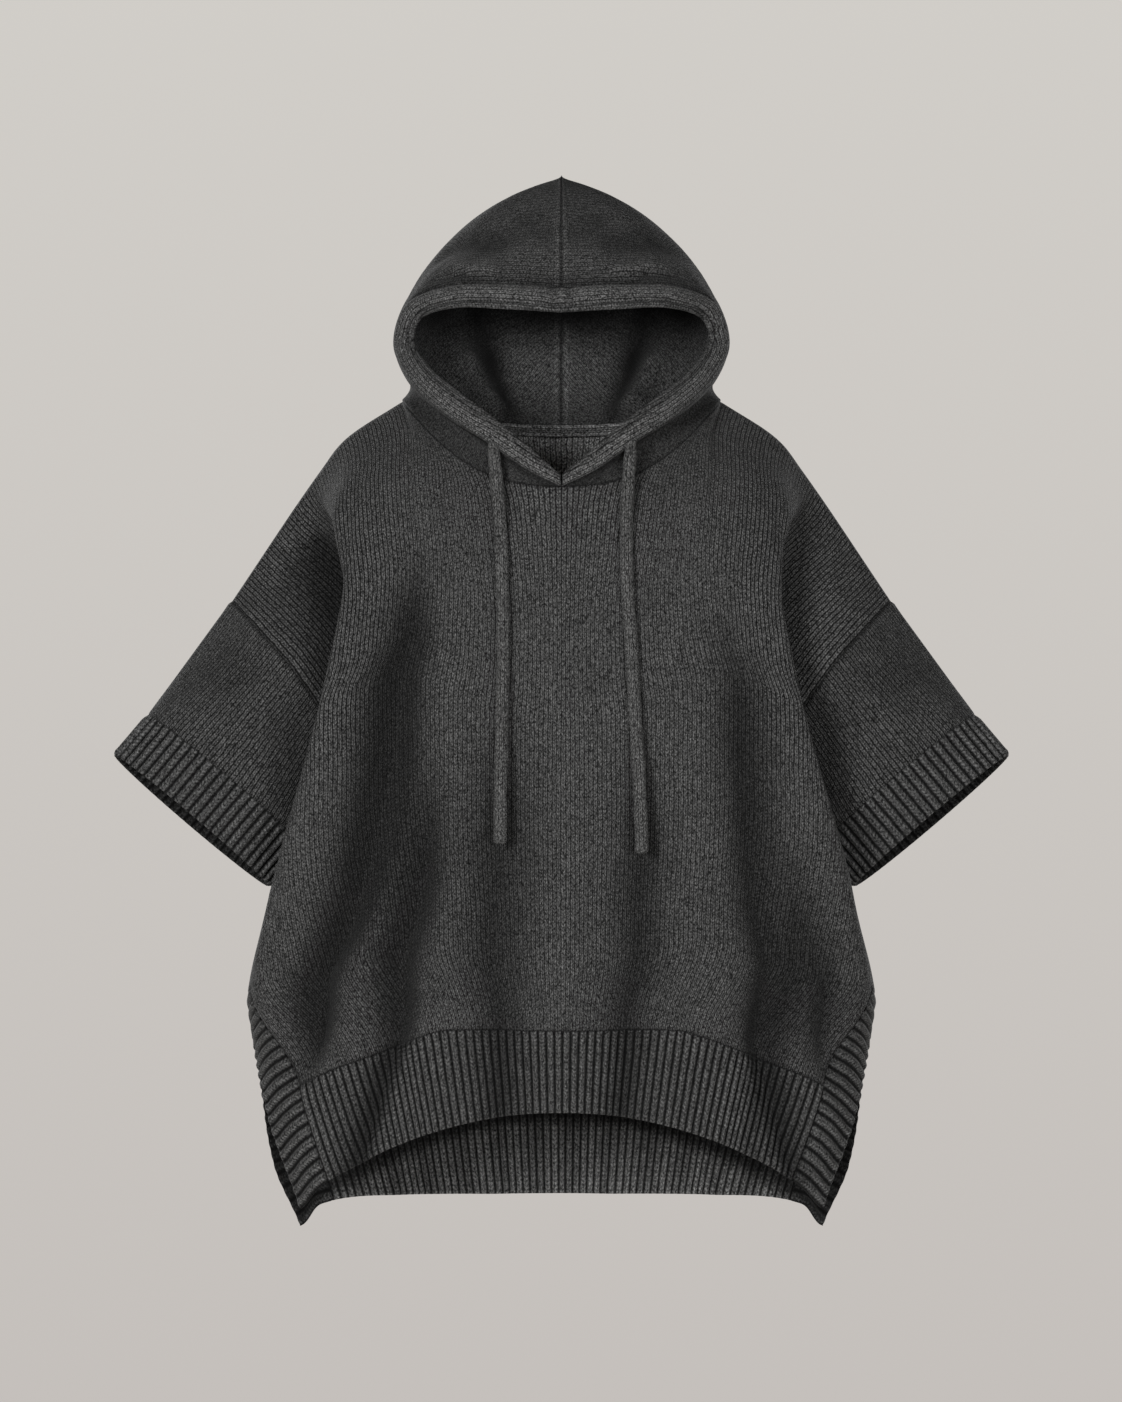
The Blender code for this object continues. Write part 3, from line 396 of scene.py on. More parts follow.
def lines(start, end, step, scale, sewn_start=False, sewn_end=False):
    """Places from start to end, a step apart and closer at sewn ends; scale is mm a unit."""
    length = (end - start) * scale
    lead = SEAM_LINES[-1] if sewn_start else 0.0
    tail = SEAM_LINES[-1] if sewn_end else 0.0
    count = max(1, round((length - lead - tail) / step))
    marks = list(np.linspace(lead, length - tail, count + 1))
    if sewn_start:
        marks = list(SEAM_LINES[:-1]) + marks
    if sewn_end:
        marks += [length - mark for mark in SEAM_LINES[-2::-1]]
    return [start + mark / scale for mark in marks]


# ---- drape of the two body panels ----
def top_line(across, panel):
    """The neckline and the shoulder seam of one half of a panel, as rows of (x, y, z)."""
    across = np.asarray(across, dtype=float)
    share = 1 - np.clip(1 - across / NECK_ACROSS, 0, 1) ** NECK_CROWDING
    neck = np.stack([NECK_HALF_WIDTH * share,
                     NECK_REACH[panel] * (1 - share * share) ** 0.5,
                     -NECK_DROP[panel] * (1 - share ** NECK_ROUNDNESS)], axis=-1)
    along = np.clip((across - NECK_ACROSS) / (1 - NECK_ACROSS), 0, 1)
    x, z = through(SHOULDER, at=along).T
    shoulder = np.stack([x, np.zeros_like(x), z], axis=-1)
    return np.where((across <= NECK_ACROSS)[:, None], neck, shoulder)


def hem_height(across, panel):
    height, drop, power = HEM[panel]
    return height + drop * across ** power


def fold_depth(across, down, side, panel):
    """How far the large folds press the cloth inwards at places along a level."""
    total = np.zeros_like(across)
    for fold in map(Fold._make, FOLDS[panel]):
        if down <= fold.top_down:
            continue
        run = (down - fold.top_down) / (1 - fold.top_down)
        middle = fold.top_across + (fold.hem_across - fold.top_across) * run ** fold.bend
        strength = (smooth((down - fold.top_down) / FOLD_GROWTH)
                    * smooth((fold.end - down) / FOLD_DYING))
        reach = np.where(across < middle, fold.inner, fold.outer)
        press = fold.depth * strength * np.exp(-(np.abs(across - middle) / reach) ** FOLD_SHARPNESS)
        total += np.where(side == fold.side, press, 0.0)
    return total * smooth(down / SEAM_HOLD)


def crease_depth(signed, down, panel):
    """How far the small creases press the cloth inwards."""
    total = np.zeros_like(signed)
    for crease in map(Crease._make, CREASES[panel]):
        run = (down - crease.top_down) / (crease.end_down - crease.top_down)
        if not 0 < run < 1:
            continue
        middle = crease.top_across + (crease.end_across - crease.top_across) * run
        middle += CREASE_SWAY * sin(9 * run + 20 * crease.top_across)
        strength = smooth(run / CREASE_FADE) * smooth((1 - run) / CREASE_FADE)
        total += crease.depth * strength * np.exp(-((signed - middle) / crease.width) ** 2)
    return total


def course_curve(down, panel):
    """One half of a course in plan, as a curve of (x, y) from the centre line to the edge."""
    row = course_at(down)
    middle_y, turned, deep = ((row.front_y, 1.0, 1.0) if panel == "front"
                              else (row.back_y, -1.0, BACK_DEPTH))
    ridge_y = turned * deep * row.ridge_y
    chest_y = middle_y + CHEST_SHARE * (ridge_y - middle_y) - turned * CHEST_FULLNESS
    return np.array(((0.0, middle_y),
                     (CHEST_PLACE * row.ridge_x, chest_y),
                     (row.ridge_x, ridge_y),
                     (row.tuck_x, turned * deep * row.tuck_y),
                     (row.edge_x, turned * row.edge_y)))


def fold_shade(press):
    """Painted shade where the cloth is pressed inwards, and painted highlight where it stands out.
    """
    return 1 - FOLD_SHADE * smooth(press / FOLD_DEEP) + 0.10 * smooth(-press / 3.0)


def drape(panel, places, levels, shaded=False):
    """The middle of a panel's cloth; a row for each level, a column for each signed place."""
    signed = np.asarray(places, dtype=float)
    across, side = np.abs(signed), np.where(signed < 0, -1.0, 1.0)
    top, hem = top_line(across, panel), hem_height(across, panel)
    first = through(course_curve(0.0, panel), at=across)
    rows, pressed = [], []
    for down in levels:
        curve = course_curve(down, panel)
        x, y = through(curve, at=across).T
        along = (through(curve, at=np.clip(across + 0.01, 0, 1))
                 - through(curve, at=np.clip(across - 0.01, 0, 1)))
        outward = np.stack([-along[:, 1], along[:, 0]])
        outward = outward / np.maximum(np.linalg.norm(outward, axis=0), 1e-6)
        if panel == "front":
            outward = -outward
        fade = max(0.0, 1 - down / TOP_BLEND) ** 2
        x = x + fade * (top[:, 0] - first[:, 0])
        y = y + fade * (top[:, 1] - first[:, 1])
        z = top[:, 2] + (hem - top[:, 2]) * down
        z = z + course_at(down).lift * past(across, LIFT_START)
        press = fold_depth(across, down, side, panel) + crease_depth(signed, down, panel)
        pressed.append(press)
        press = press * smooth((1 - across) / FOLD_CLEAR)
        press = press * (1 - HEM_FLATTENS * smooth((down - HEM_FLATTENING[0]) / HEM_FLATTENING[1]))
        x, y = x - outward[0] * press, y - outward[1] * press
        below_slit = past(down, SLIT_TOP)
        if panel == "front":
            x = x - FRONT_EDGE_TUCK * past(across, BAND_SEAM) * below_slit
        else:
            tip = past(across, TIP_ACROSS) * past(down, TIP_DOWN)
            x, y, z = x - BACK_TIP[0] * tip, y - BACK_TIP[1] * tip, z - BACK_TIP[2] * tip
            corner = past(across, BACK_CORNER_START) * below_slit
            x = x + BACK_CORNER_SPREAD * corner
            z = z - BACK_CORNER_DROP * corner * across ** BACK_CORNER_POWER
        rows.append(np.stack([side * x, y, z], axis=-1))
    # with shaded, also the painted shade of the folds and the painted highlight on the creases'
    # ridges
    return (np.array(rows), fold_shade(np.array(pressed))) if shaded else np.array(rows)


# ---- hood ----
def sectioned(knots, marks, sections):
    """Points along a smooth curve; each section has its places, from 0 to 1, mark to mark."""
    knots = np.array(knots, dtype=float)
    count = 60 * (len(knots) - 1)
    dense = through(knots, count=count + 1)
    stops = [np.argmin(np.linalg.norm(dense - knots[mark], axis=1)) / count for mark in marks]
    places = [stops[0]]
    for start, end, section in zip(stops, stops[1:], sections):
        places += [start + (end - start) * place for place in section[1:]]
    return through(knots, at=places)


def hood_level(table, place):
    """Crown seam, side and back of the hood between a table's rows; place runs from 0 to 1."""
    rows = np.array(table, dtype=float)
    numbered = np.column_stack([LEVEL_SPACING * np.arange(len(rows)), rows])
    level = HoodLevel(*through(numbered, at=[place])[0][1:])
    return (np.array((0.0, level.front_y, level.front_z)),
            np.array((level.side_x, level.side_y, level.side_z)),
            np.array((0.0, level.back_y, level.back_z)))


def quarter_point(widest, seam):
    """A place between the hood's side and a seam, as full as HOOD_QUARTER says."""
    middle = (widest + seam) / 2
    return np.array((widest[0] * HOOD_QUARTER,
                     widest[1] + (seam[1] - widest[1]) * HOOD_QUARTER, middle[2]))


def unit(values):
    """Places stretched to run from 0 to 1."""
    values = np.array(values, dtype=float)
    return (values - values[0]) / (values[-1] - values[0])


# nominal lengths of the hood's stretches, in mm
CHEEK_HIGH, CROWN_HIGH, BRIM_LONG, FRONT_LONG, REAR_LONG = 190.0, 150.0, 150.0, 120.0, 150.0
CHEEK_ROWS = unit(lines(0, 1, 4.0, CHEEK_HIGH, sewn_start=True))
CROWN_ROWS = unit(lines(0, 1, 4.0, CROWN_HIGH))
BRIM_COLUMNS = unit(lines(0, 1, 3.8, BRIM_LONG, sewn_start=True))
FRONT_COLUMNS = unit(lines(0, 1, 3.8, FRONT_LONG, sewn_start=True))
REAR_COLUMNS = unit(lines(0, 1, 3.8, REAR_LONG, sewn_end=True))
BRIM, CHEEK = len(BRIM_COLUMNS) - 1, len(CHEEK_ROWS) - 1  # column and row where they meet


def hood_grid(side):
    """One half of the hood: rows run from the neck seam up to the peak.

    The first columns belong to the brim, and only the crown's rows use them.
    """
    turns = FRONT_COLUMNS * NECK_ACROSS
    neck = np.concatenate([top_line(turns, "front"),
                           top_line((1 - REAR_COLUMNS[1:]) * NECK_ACROSS, "back")])
    knots = np.array(HOOD_OPENING)[:, :3]
    opening = sectioned(knots, (0, OPENING_CORNER, -1), (CHEEK_ROWS, 1 - BRIM_COLUMNS[::-1]))
    sections = (FRONT_COLUMNS, REAR_COLUMNS)
    grid = np.zeros((CHEEK + len(CROWN_ROWS), BRIM + sum(map(len, sections)) - 1, 3))
    for i, place in enumerate(CHEEK_ROWS):
        _, widest, back = hood_level(HOOD_CHEEK, place)
        row = sectioned((opening[i], widest, quarter_point(widest, back), back), (0, 1, 3),
                        sections)
        if i == 0:
            shift = neck - row
        grid[i, BRIM:] = row + shift * max(0.0, 1 - place / NECK_BLEND) ** 2
    grid[CHEEK, :BRIM] = opening[:CHEEK:-1]
    for i, place in enumerate(CROWN_ROWS):
        front, widest, back = hood_level(HOOD_CROWN, place)
        row = sectioned((front, quarter_point(widest, front), widest,
                         quarter_point(widest, back), back), (0, 1, 2, 4),
                        (BRIM_COLUMNS, *sections))
        if i == 0:
            lift = grid[CHEEK] - row
        grid[CHEEK + i] = row + lift * (1 - place) ** CROWN_EASE
    cells = np.ones((grid.shape[0] - 1, grid.shape[1] - 1), dtype=bool)
    cells[:CHEEK, :BRIM] = False
    return grid * (side, 1, 1), cells


# ---- walls of knitted cloth ----
def grid_mesh(name, points, chart, shades, cells=None, ring=False, inner=None, inner_shade=None):
    """A mesh from a grid of points: a ring or not, and a wall if it has inner points.

    A ring with no inner points is closed at its ends.  shades holds the painted light and shade,
    and how dark the painted shade between the columns of stitches is.
    """
    rows, columns = points.shape[:2]
    bm = bmesh.new()
    spot = bm.verts.layers.int.new("spot")
    stitches = bm.loops.layers.uv.new("stitches")
    layers = [bm.verts.layers.float.new(layer) for layer in ("shade", "lined")]
    bmesh.ops.create_grid(bm, x_segments=columns - 1, y_segments=rows - 1, size=0.5)
    spots = (points * MM).reshape(-1, 3).tolist()
    values = [layer.ravel().tolist() for layer in shades]
    for number, vert in enumerate(bm.verts):
        vert[spot] = number
        vert.co = spots[number]
        for layer, value in zip(layers, values):
            vert[layer] = value[number]
    unused = []
    chart = (chart * MM).tolist()
    for face in bm.faces:
        corners = [divmod(loop.vert[spot], columns) for loop in face.loops]
        if cells is not None and not cells[min(corners)]:
            unused.append(face)
        for loop, (i, j) in zip(face.loops, corners):
            loop[stitches].uv = chart[i][j]
    bmesh.ops.delete(bm, geom=unused, context="FACES")
    if ring:
        by_number = {vert[spot]: vert for vert in bm.verts}
        last = {by_number[i * columns + columns - 1]: by_number[i * columns] for i in range(rows)}
        bmesh.ops.weld_verts(bm, targetmap=last)
    if inner is not None:
        inner = (inner * MM).reshape(-1, 3).tolist()
        inner_shade = inner_shade.ravel().tolist()
        for vert in bmesh.ops.extrude_face_region(bm, geom=bm.faces[:])["geom"]:
            if isinstance(vert, bmesh.types.BMVert):
                vert.co = inner[vert[spot]]
                vert[layers[0]] = inner_shade[vert[spot]]
    elif ring:
        bmesh.ops.holes_fill(bm, edges=[e for e in bm.edges if e.is_boundary], sides=columns)
    bmesh.ops.recalc_face_normals(bm, faces=bm.faces[:])
    if bm.calc_volume(signed=True) < 0:
        bmesh.ops.reverse_faces(bm, faces=bm.faces[:])
    data = bpy.data.meshes.new(name)
    bm.to_mesh(data)
    bm.free()
    data.attributes.remove(data.attributes["spot"])
    data.shade_smooth()
    return data


CORNERS = ((0, 0), (1, 0), (0, 1), (1, 1))  # of a cell of a grid


class Cloth:
    """A piece of cloth: a grid of middle points, its faces' offsets and its stitch map."""

    made = []

    def __init__(self, name, node, points, outward, finish, cells=None, ring=False):
        self.name, self.node, self.finish = name, node, finish
        self.points, self.outward, self.ring = points, outward, ring
        size = points.shape[:2]
        self.cells = np.ones((size[0] - 1, size[1] - 1), dtype=bool) if cells is None else cells
        self.above, self.below = np.full(size, WALL / 2), np.full(size, WALL / 2)
        self.stitch = np.zeros((*size, 2))
        self.shade, self.inner_shade = np.ones(size), None
        self.lined = np.full(size, LINED)
        self.normals = self.find_normals()
        Cloth.made.append(self)

    def gather(self, total, share):
        """Add each cell's share to the four places at its corners."""
        rows, columns = self.cells.shape
        for i, j in CORNERS:
            total[i:i + rows, j:j + columns] += share
        if self.ring:
            total[:, 0] += total[:, -1]
            total[:, -1] = total[:, 0]
        return total

    def find_normals(self):
        p = self.points
        flat = np.cross(p[1:, 1:] - p[:-1, :-1], p[1:, :-1] - p[:-1, 1:]) * self.outward
        total = self.gather(np.zeros_like(p), flat * self.cells[:, :, None])
        return total / np.maximum(np.linalg.norm(total, axis=-1, keepdims=True), 1e-9)

    def edge(self):
        """The places on the cloth's edge, which fewer than four cells touch."""
        touched = self.gather(np.zeros(self.points.shape[:2], dtype=int), self.cells)
        return (touched > 0) & (touched < 4)

    def chart(self, along, up):
        """Lay the stitch map: mm across the columns of stitches, and along them."""
        self.stitch[:, :, 0], self.stitch[:, :, 1] = along, up

    def mesh(self):
        """The closed wall: a grid on the outer side, extruded through to the inner side."""
        return grid_mesh(self.name, self.points + self.normals * self.above[:, :, None],
                         self.stitch, (self.shade, self.lined), self.cells, self.ring,
                         self.points - self.normals * self.below[:, :, None],
                         self.shade if self.inner_shade is None else self.inner_shade)


def sew_edges():
    """Turn the wall's direction at each sewn edge to the mitre of the pieces that meet there."""
    edges = []
    for piece in Cloth.made:
        where = np.argwhere(piece.edge())
        edges.append((piece, where, piece.points[where[:, 0], where[:, 1]],
                      piece.normals[where[:, 0], where[:, 1]].copy()))
    for piece, where, points, normals in edges:
        near = [[n] for n in normals]
        for other, _, other_points, other_normals in edges:
            if other is piece or not len(other_points):
                continue
            low, high = other_points.min(0) - MITRE_REACH, other_points.max(0) + MITRE_REACH
            for k in np.nonzero(np.all((points > low) & (points < high), axis=1))[0]:
                distance = np.linalg.norm(other_points - points[k], axis=1)
                closest = np.argmin(distance)
                if distance[closest] < MITRE_REACH:
                    near[k].append(other_normals[closest])
        for k, (i, j) in enumerate(where):
            mitre = np.linalg.pinv(np.array(near[k]), rcond=0.3) @ np.ones(len(near[k]))
            piece.normals[i, j] = mitre * min(1.0, MITRE_LIMIT / np.linalg.norm(mitre))


def seam_relief(distance, dip=SEAM_DIP, welt=SEAM_WELT):
    """Height of the wall's face at a distance from a sewn edge."""
    marks = (0.0, SEAM_LINES[1], SEAM_LINES[2], SEAM_LINES[3], 2 * SEAM_LINES[3])
    return np.interp(distance, marks, (-dip, -0.1 * dip, welt, 0.6 * welt, 0.0))


def seam_shade(distance, depth=SEAM_DARK):
    """Painted shade in a sewn edge's groove: the share of the colour's light it keeps."""
    return 1 - depth * np.interp(distance, SEAM_LINES[:3], (1.0, 0.22, 0.0))


def row_length(points):
    """Length along each row of a grid, from the first column."""
    return run_length(points.transpose(1, 0, 2)).T


HALF_RIB = len(RIB_SHAPE) // 2


def ribs_along(seam, dense, width):
    """Mesh lines of the ribs along a seam: places, lengths, stitches across and heights."""
    length = run_length(seam)
    count = round(length[-1] / width)
    marks = np.array([(k + place) / count for k in range(count) for place, _ in RIB_SHAPE] + [1.0])
    heights = np.array([height for _ in range(count) for _, height in RIB_SHAPE] + [0.0])
    places = np.interp(marks * length[-1], length, dense)
    return places, marks * length[-1], marks * count * width, heights


def raise_ribs(piece, rise, fade, relief):
    """Raise ribs and edges on both faces; inside, a rib stands where the groove is.

    rise holds the ribs' heights, along the rows of the piece's grid or down its columns.
    """
    inside = np.roll(rise[:-1], HALF_RIB, axis=0)
    inside = np.concatenate([inside, inside[:1]])
    for face, height in ((piece.above, rise), (piece.below, inside)):
        face += fade * (height * (RIB_TOP + RIB_GROOVE) - RIB_GROOVE)
        face += relief


def free_edge(distance):
    """Half thickness of a wall so far from its free edge, which rolls over softly."""
    return np.interp(distance, (0.0, 0.7, 1.8, 3.5, 7.0), (-1.2, -0.45, 0.25, 0.3, 0.0))


def rib_edge(piece, heights, wales, from_seam, from_end):
    """Ribs, seam, free edge and stitches of a hem or a cuff."""
    fade = smooth(from_seam / RIB_TAPER) * (0.35 + 0.65 * smooth(from_end / 4.0))
    raise_ribs(piece, heights, fade, seam_relief(from_seam, 0.5, 0.1) + free_edge(from_end))
    piece.chart(wales, from_end)
    # painted shade in the seam's groove
    piece.shade = piece.shade * seam_shade(from_seam, RIB_SEAM_DARK)


# ---- finishes ----
class Bench:
    """Lays out the nodes of a material or of the world."""

    def __init__(self, owner, shader):
        owner.use_nodes = True
        self.owner, self.tree = owner, owner.node_tree
        self.shader = self.tree.nodes[shader]

    def fill(self, made, inputs):
        """Set a node's inputs to constants, or link them to what other nodes give."""
        for key, value in dict(inputs).items():
            if isinstance(value, bpy.types.NodeSocket):
                self.tree.links.new(value, made.inputs[key])
            else:
                made.inputs[key].default_value = value
        return made

    def node(self, kind, inputs=(), **settings):
        made = self.tree.nodes.new(kind)
        for key, value in settings.items():
            setattr(made, key, value)
        return self.fill(made, inputs)

    def math(self, operation, *values):
        return self.node("ShaderNodeMath", dict(enumerate(values)), operation=operation).outputs[0]

    def vector(self, operation, *values):
        made = self.node("ShaderNodeVectorMath", dict(enumerate(values)), operation=operation)
        return made.outputs[0]

    def noise(self, place, scale, detail=2.0, roughness=0.5):
        return self.node("ShaderNodeTexNoise", {"Vector": place, "Scale": scale, "Detail": detail,
                                                "Roughness": roughness})

    def attribute(self, name):
        return self.node("ShaderNodeAttribute", attribute_name=name).outputs["Fac"]

    def ramp(self, value, start, end, at_start, at_end, kind="SMOOTHSTEP"):
        """Goes from at_start to at_end while the value goes from start to end."""
        return self.node("ShaderNodeMapRange", {"Value": value, "From Min": start,
                                                "From Max": end, "To Min": at_start,
                                                "To Max": at_end},
                         interpolation_type=kind).outputs["Result"]


CHARCOAL = (0.050, 0.050, 0.0495)
CORD_CHARCOAL = (0.066, 0.066, 0.065)
FIBRE_SCALE = 700.0  # marled fibres to the metre
YARN_SWAY = ((75.0, 0.0015, 0.004), (330.0, 0.0008, 0.0016))  # noise scale, sway across, along
SPECKLE = 0.85  # how far the marl is lighter and darker than its middle tone


def knit_finish(name, wale, course, colour=CHARCOAL, marl=1.0, wander=1.0, ribs=0.0):
    """Stockinette: columns of leaning loops in marled yarn, drawn on the stitch map.

    On ribbing one column is one rib, and ribs says how far painted shade darkens its grooves.
    """
    bench = Bench(bpy.data.materials.new(name), "Principled BSDF")
    math, vector = bench.math, bench.vector
    chart = bench.node("ShaderNodeUVMap", uv_map="stitches").outputs["UV"]
    moved = chart
    for scale, across, along in YARN_SWAY:
        sway = vector("SUBTRACT", bench.noise(chart, scale, 1.0).outputs["Color"], (0.5, 0.5, 0.5))
        sway = vector("MULTIPLY", sway, (across * wander, along * wander, 0.0))
        moved = vector("ADD", moved, sway)
    split = bench.node("ShaderNodeSeparateXYZ", {"Vector": moved})
    columns = math("DIVIDE", split.outputs["X"], wale * MM)
    off_middle = math("ABSOLUTE", math("SUBTRACT", math("FRACT", columns), 0.5))
    rows = math("DIVIDE", split.outputs["Y"], course * MM)
    rows = math("SUBTRACT", rows, math("MULTIPLY", off_middle, 1.5))
    from_leg = math("MULTIPLY", math("SUBTRACT", off_middle, 0.25), 4.0)
    leg = math("SUBTRACT", 1.0, math("MULTIPLY", from_leg, from_leg))
    leg = math("ADD", math("MULTIPLY", leg, 0.8), math("MULTIPLY_ADD", off_middle, -0.7, 0.35))
    loop = math("MULTIPLY_ADD", math("COSINE", math("MULTIPLY", rows, 2 * pi)), 0.5, 0.5)
    height = math("MULTIPLY", leg, math("MULTIPLY_ADD", loop, 0.55, 0.45))
    place = bench.node("ShaderNodeTexCoord").outputs["Object"]
    fibres = bench.noise(vector("MULTIPLY", place, (1.0, 1.0, 0.7)),
                         FIBRE_SCALE, 2.0, 0.75).outputs["Fac"]
    cloudy = bench.noise(place, 26.0, 2.0).outputs["Fac"]
    strand = bench.node("ShaderNodeCombineXYZ", {
        "X": math("FLOOR", math("MULTIPLY", columns, 2.0)), "Y": math("FLOOR", rows)})
    fleck = bench.node("ShaderNodeTexWhiteNoise", {"Vector": strand.outputs["Vector"]},
                       noise_dimensions="3D").outputs["Value"]
    # painted shade in the grooves between ribs, or between columns of stitches as far as lined says
    if ribs:
        lines_light = bench.ramp(off_middle, 0.21, 0.42, 1.0, 1 - ribs)
    else:
        lines_light = math("MULTIPLY_ADD", bench.ramp(off_middle, 0.22, 0.46, 0.18, -0.85),
                           bench.attribute("lined"), 1.0)
    # painted shade: the loops' tops lighter than the hollows between them
    tone = math("MULTIPLY_ADD", height, 1.6, 0.24 if ribs else 0.14)
    # flecks, fibres and clouds are the marl's own tone; the shade attribute is painted light and
    # shade
    for light in (math("MULTIPLY_ADD", fleck, 0.5 * marl, 1 - 0.25 * marl),
                  bench.ramp(fibres, 0.36, 0.64, 1 - SPECKLE, 1 + SPECKLE, "LINEAR"),
                  math("MULTIPLY_ADD", cloudy, 0.24, 0.88), bench.attribute("shade"),
                  lines_light):
        tone = math("MULTIPLY", tone, light)
    yarn = bench.node("ShaderNodeVectorMath", {0: colour, "Scale": tone}, operation="SCALE")
    surface = math("ADD", math("MULTIPLY", height, 0.35 if ribs else 1.0),
                   math("MULTIPLY", fibres, 0.5))
    bump = bench.node("ShaderNodeBump", {"Height": surface, "Strength": 1.0,
                                         "Distance": 0.7 * MM})
    bench.fill(bench.shader, {"Base Color": yarn.outputs[0], "Normal": bump.outputs["Normal"],
                              "Roughness": 0.95, "Specular IOR Level": 0.12,
                              "Sheen Weight": 0.03, "Sheen Roughness": 0.5})
    return bench.owner


FINISHES = {  # material and slot
    "body": (knit_finish("body_knit", WALE, COURSE), "body_knit"),
    "tape": (knit_finish("tape_knit", 3.6, 3.4), "tape"),
    "cord": (knit_finish("cord_knit", 3.4, 3.6, CORD_CHARCOAL), "cord"),
}
for kind, rib, course in (("hem", HEM_RIB, 3.6), ("cuff", CUFF_RIB, 3.8), ("slit", SLIT_RIB, 4.0)):
    FINISHES[kind] = (knit_finish(f"{kind}_rib_knit", rib, course, marl=0.5, wander=0.3, ribs=0.8),
                      "rib_knit")


def place_piece(name, data, finish, node):
    """Link a finished piece, let it ride on the garment and stand for its solid."""
    piece = bpy.data.objects.new(name, data)
    material, slot = FINISHES[finish]
    data.materials.append(material)
    bpy.context.scene.collection.objects.link(piece)
    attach(piece, "root")
    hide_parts(node)
    return piece


# ---- drawstrings ----
CORD_SIDES = 16
CORD_STEP = 2.6
CORD_HEM = 9.0  # length of the stitched-over end


def cord_radius(left):
    """Radius of a drawstring so far above its end: a rounded tip, a hem and its stitching."""
    marks = (0.0, 0.6, 1.8, 3.5, CORD_HEM - 1.5, CORD_HEM, CORD_HEM + 1.5, CORD_HEM + 5)
    sizes = (0.45, 0.75, 0.95, 1.03, 1.02, 0.88, 0.99, 1.0)
    return CORD_RADIUS * np.interp(left, marks, sizes)


def make_cord(side):
    """A knitted drawstring: a tube that hangs from under the casing and lies on the front."""
    route = CORD_ROUTES[side]
    length = CORD_LENGTH[side] / MM
    places = list(np.linspace(0, 1 - 12 / length, round(length / CORD_STEP)))
    places += [1 - left / length for left in (10.5, 9.0, 7.5, 6.0, 3.5, 1.8, 0.6, 0.0)]
    centre = through(route, at=places)
    along = np.gradient(centre, axis=0)
    along /= np.linalg.norm(along, axis=1, keepdims=True)
    wide = np.cross(along, (0.0, -1.0, 0.0))
    wide /= np.linalg.norm(wide, axis=1, keepdims=True)
    deep = np.cross(along, wide)
    left = (1 - np.array(places)) * length
    radius = cord_radius(left) * (1 + 0.03 * np.sin(left / 9.0) + 0.02 * np.sin(left / 3.7))
    radius = radius * np.interp(length - left, (0.0, 5.0, 14.0), (0.68, 0.82, 1.0))
    turns = np.linspace(0, 2 * pi, CORD_SIDES + 1)
    points = (centre[:, None] + radius[:, None, None]
              * (np.cos(turns)[None, :, None] * wide[:, None] * 1.04
                 + np.sin(turns)[None, :, None] * deep[:, None] * 0.96))
    wales = 2 * pi * CORD_RADIUS * np.arange(CORD_SIDES + 1) / CORD_SIDES
    chart = np.stack(np.broadcast_arrays(wales[None, :], left[:, None]), axis=-1)
    size = points.shape[:2]
    data = grid_mesh(f"cord_{side}", points, chart, (np.ones(size), np.zeros(size)), ring=True)
    piece = place_piece(f"cord_{side}", data, "cord", f"drawstring_{side}")
    [c * MM for c in route[0]]
    (through(route, count=22) * MM).tolist()


for side in CORD_ROUTES:
    make_cord(side)


# ---- body, hems and slit bands ----
HALF_PLACES = (lines(0, NECK_ACROSS, BODY_STEP, PANEL_HALF_WIDTH)
               + lines(NECK_ACROSS, BAND_SEAM, BODY_STEP, PANEL_HALF_WIDTH, sewn_end=True)[1:]
               + lines(BAND_SEAM, 1.0, BODY_STEP, PANEL_HALF_WIDTH, True, True)[1:])
BODY_PLACES = [-place for place in HALF_PLACES[:0:-1]] + HALF_PLACES
NOMINAL_LENGTH = 600.0
ARM_LEVELS = lines(0, UNDERARM, BODY_STEP, NOMINAL_LENGTH, sewn_start=True)
BODY_LEVELS = (ARM_LEVELS + lines(UNDERARM, SLIT_TOP, BODY_STEP, NOMINAL_LENGTH,
                                  sewn_end=True)[1:]
               + lines(SLIT_TOP, HEM_SEAM, BODY_STEP, NOMINAL_LENGTH, True, True)[1:])
HEM_LENGTH = 78.0
OUTWARD = {"front": -1, "back": 1}
SEAM_TURN_PLACE = 0.366  # place across where the front's neck seam turns up, lit by a painted highlight
LIGHT_AWAY, LIGHT_LEVEL = 5960.0, -254.0  # the painted shadow of the hem falls as from a light so far in front, at this height


def hem_shadow(points):
    """Painted shadow that the front's hem casts on the inside of the back: the share of light kept.
    """
    def from_front(places):
        away = 1 + places[..., 1] / LIGHT_AWAY
        return places[..., 0] / away, (places[..., 2] - LIGHT_LEVEL) / away

    edge_x, edge_z = from_front(drape("front", np.linspace(-1, 1, 161), [1.0])[0])
    x, z = from_front(points)
    below = np.interp(x, edge_x, edge_z) - z
    deep = np.interp(np.abs(x), (60.0, 190.0), (9.0, 20.0))
    return 1 - 0.85 * smooth(1.3 - below / deep)


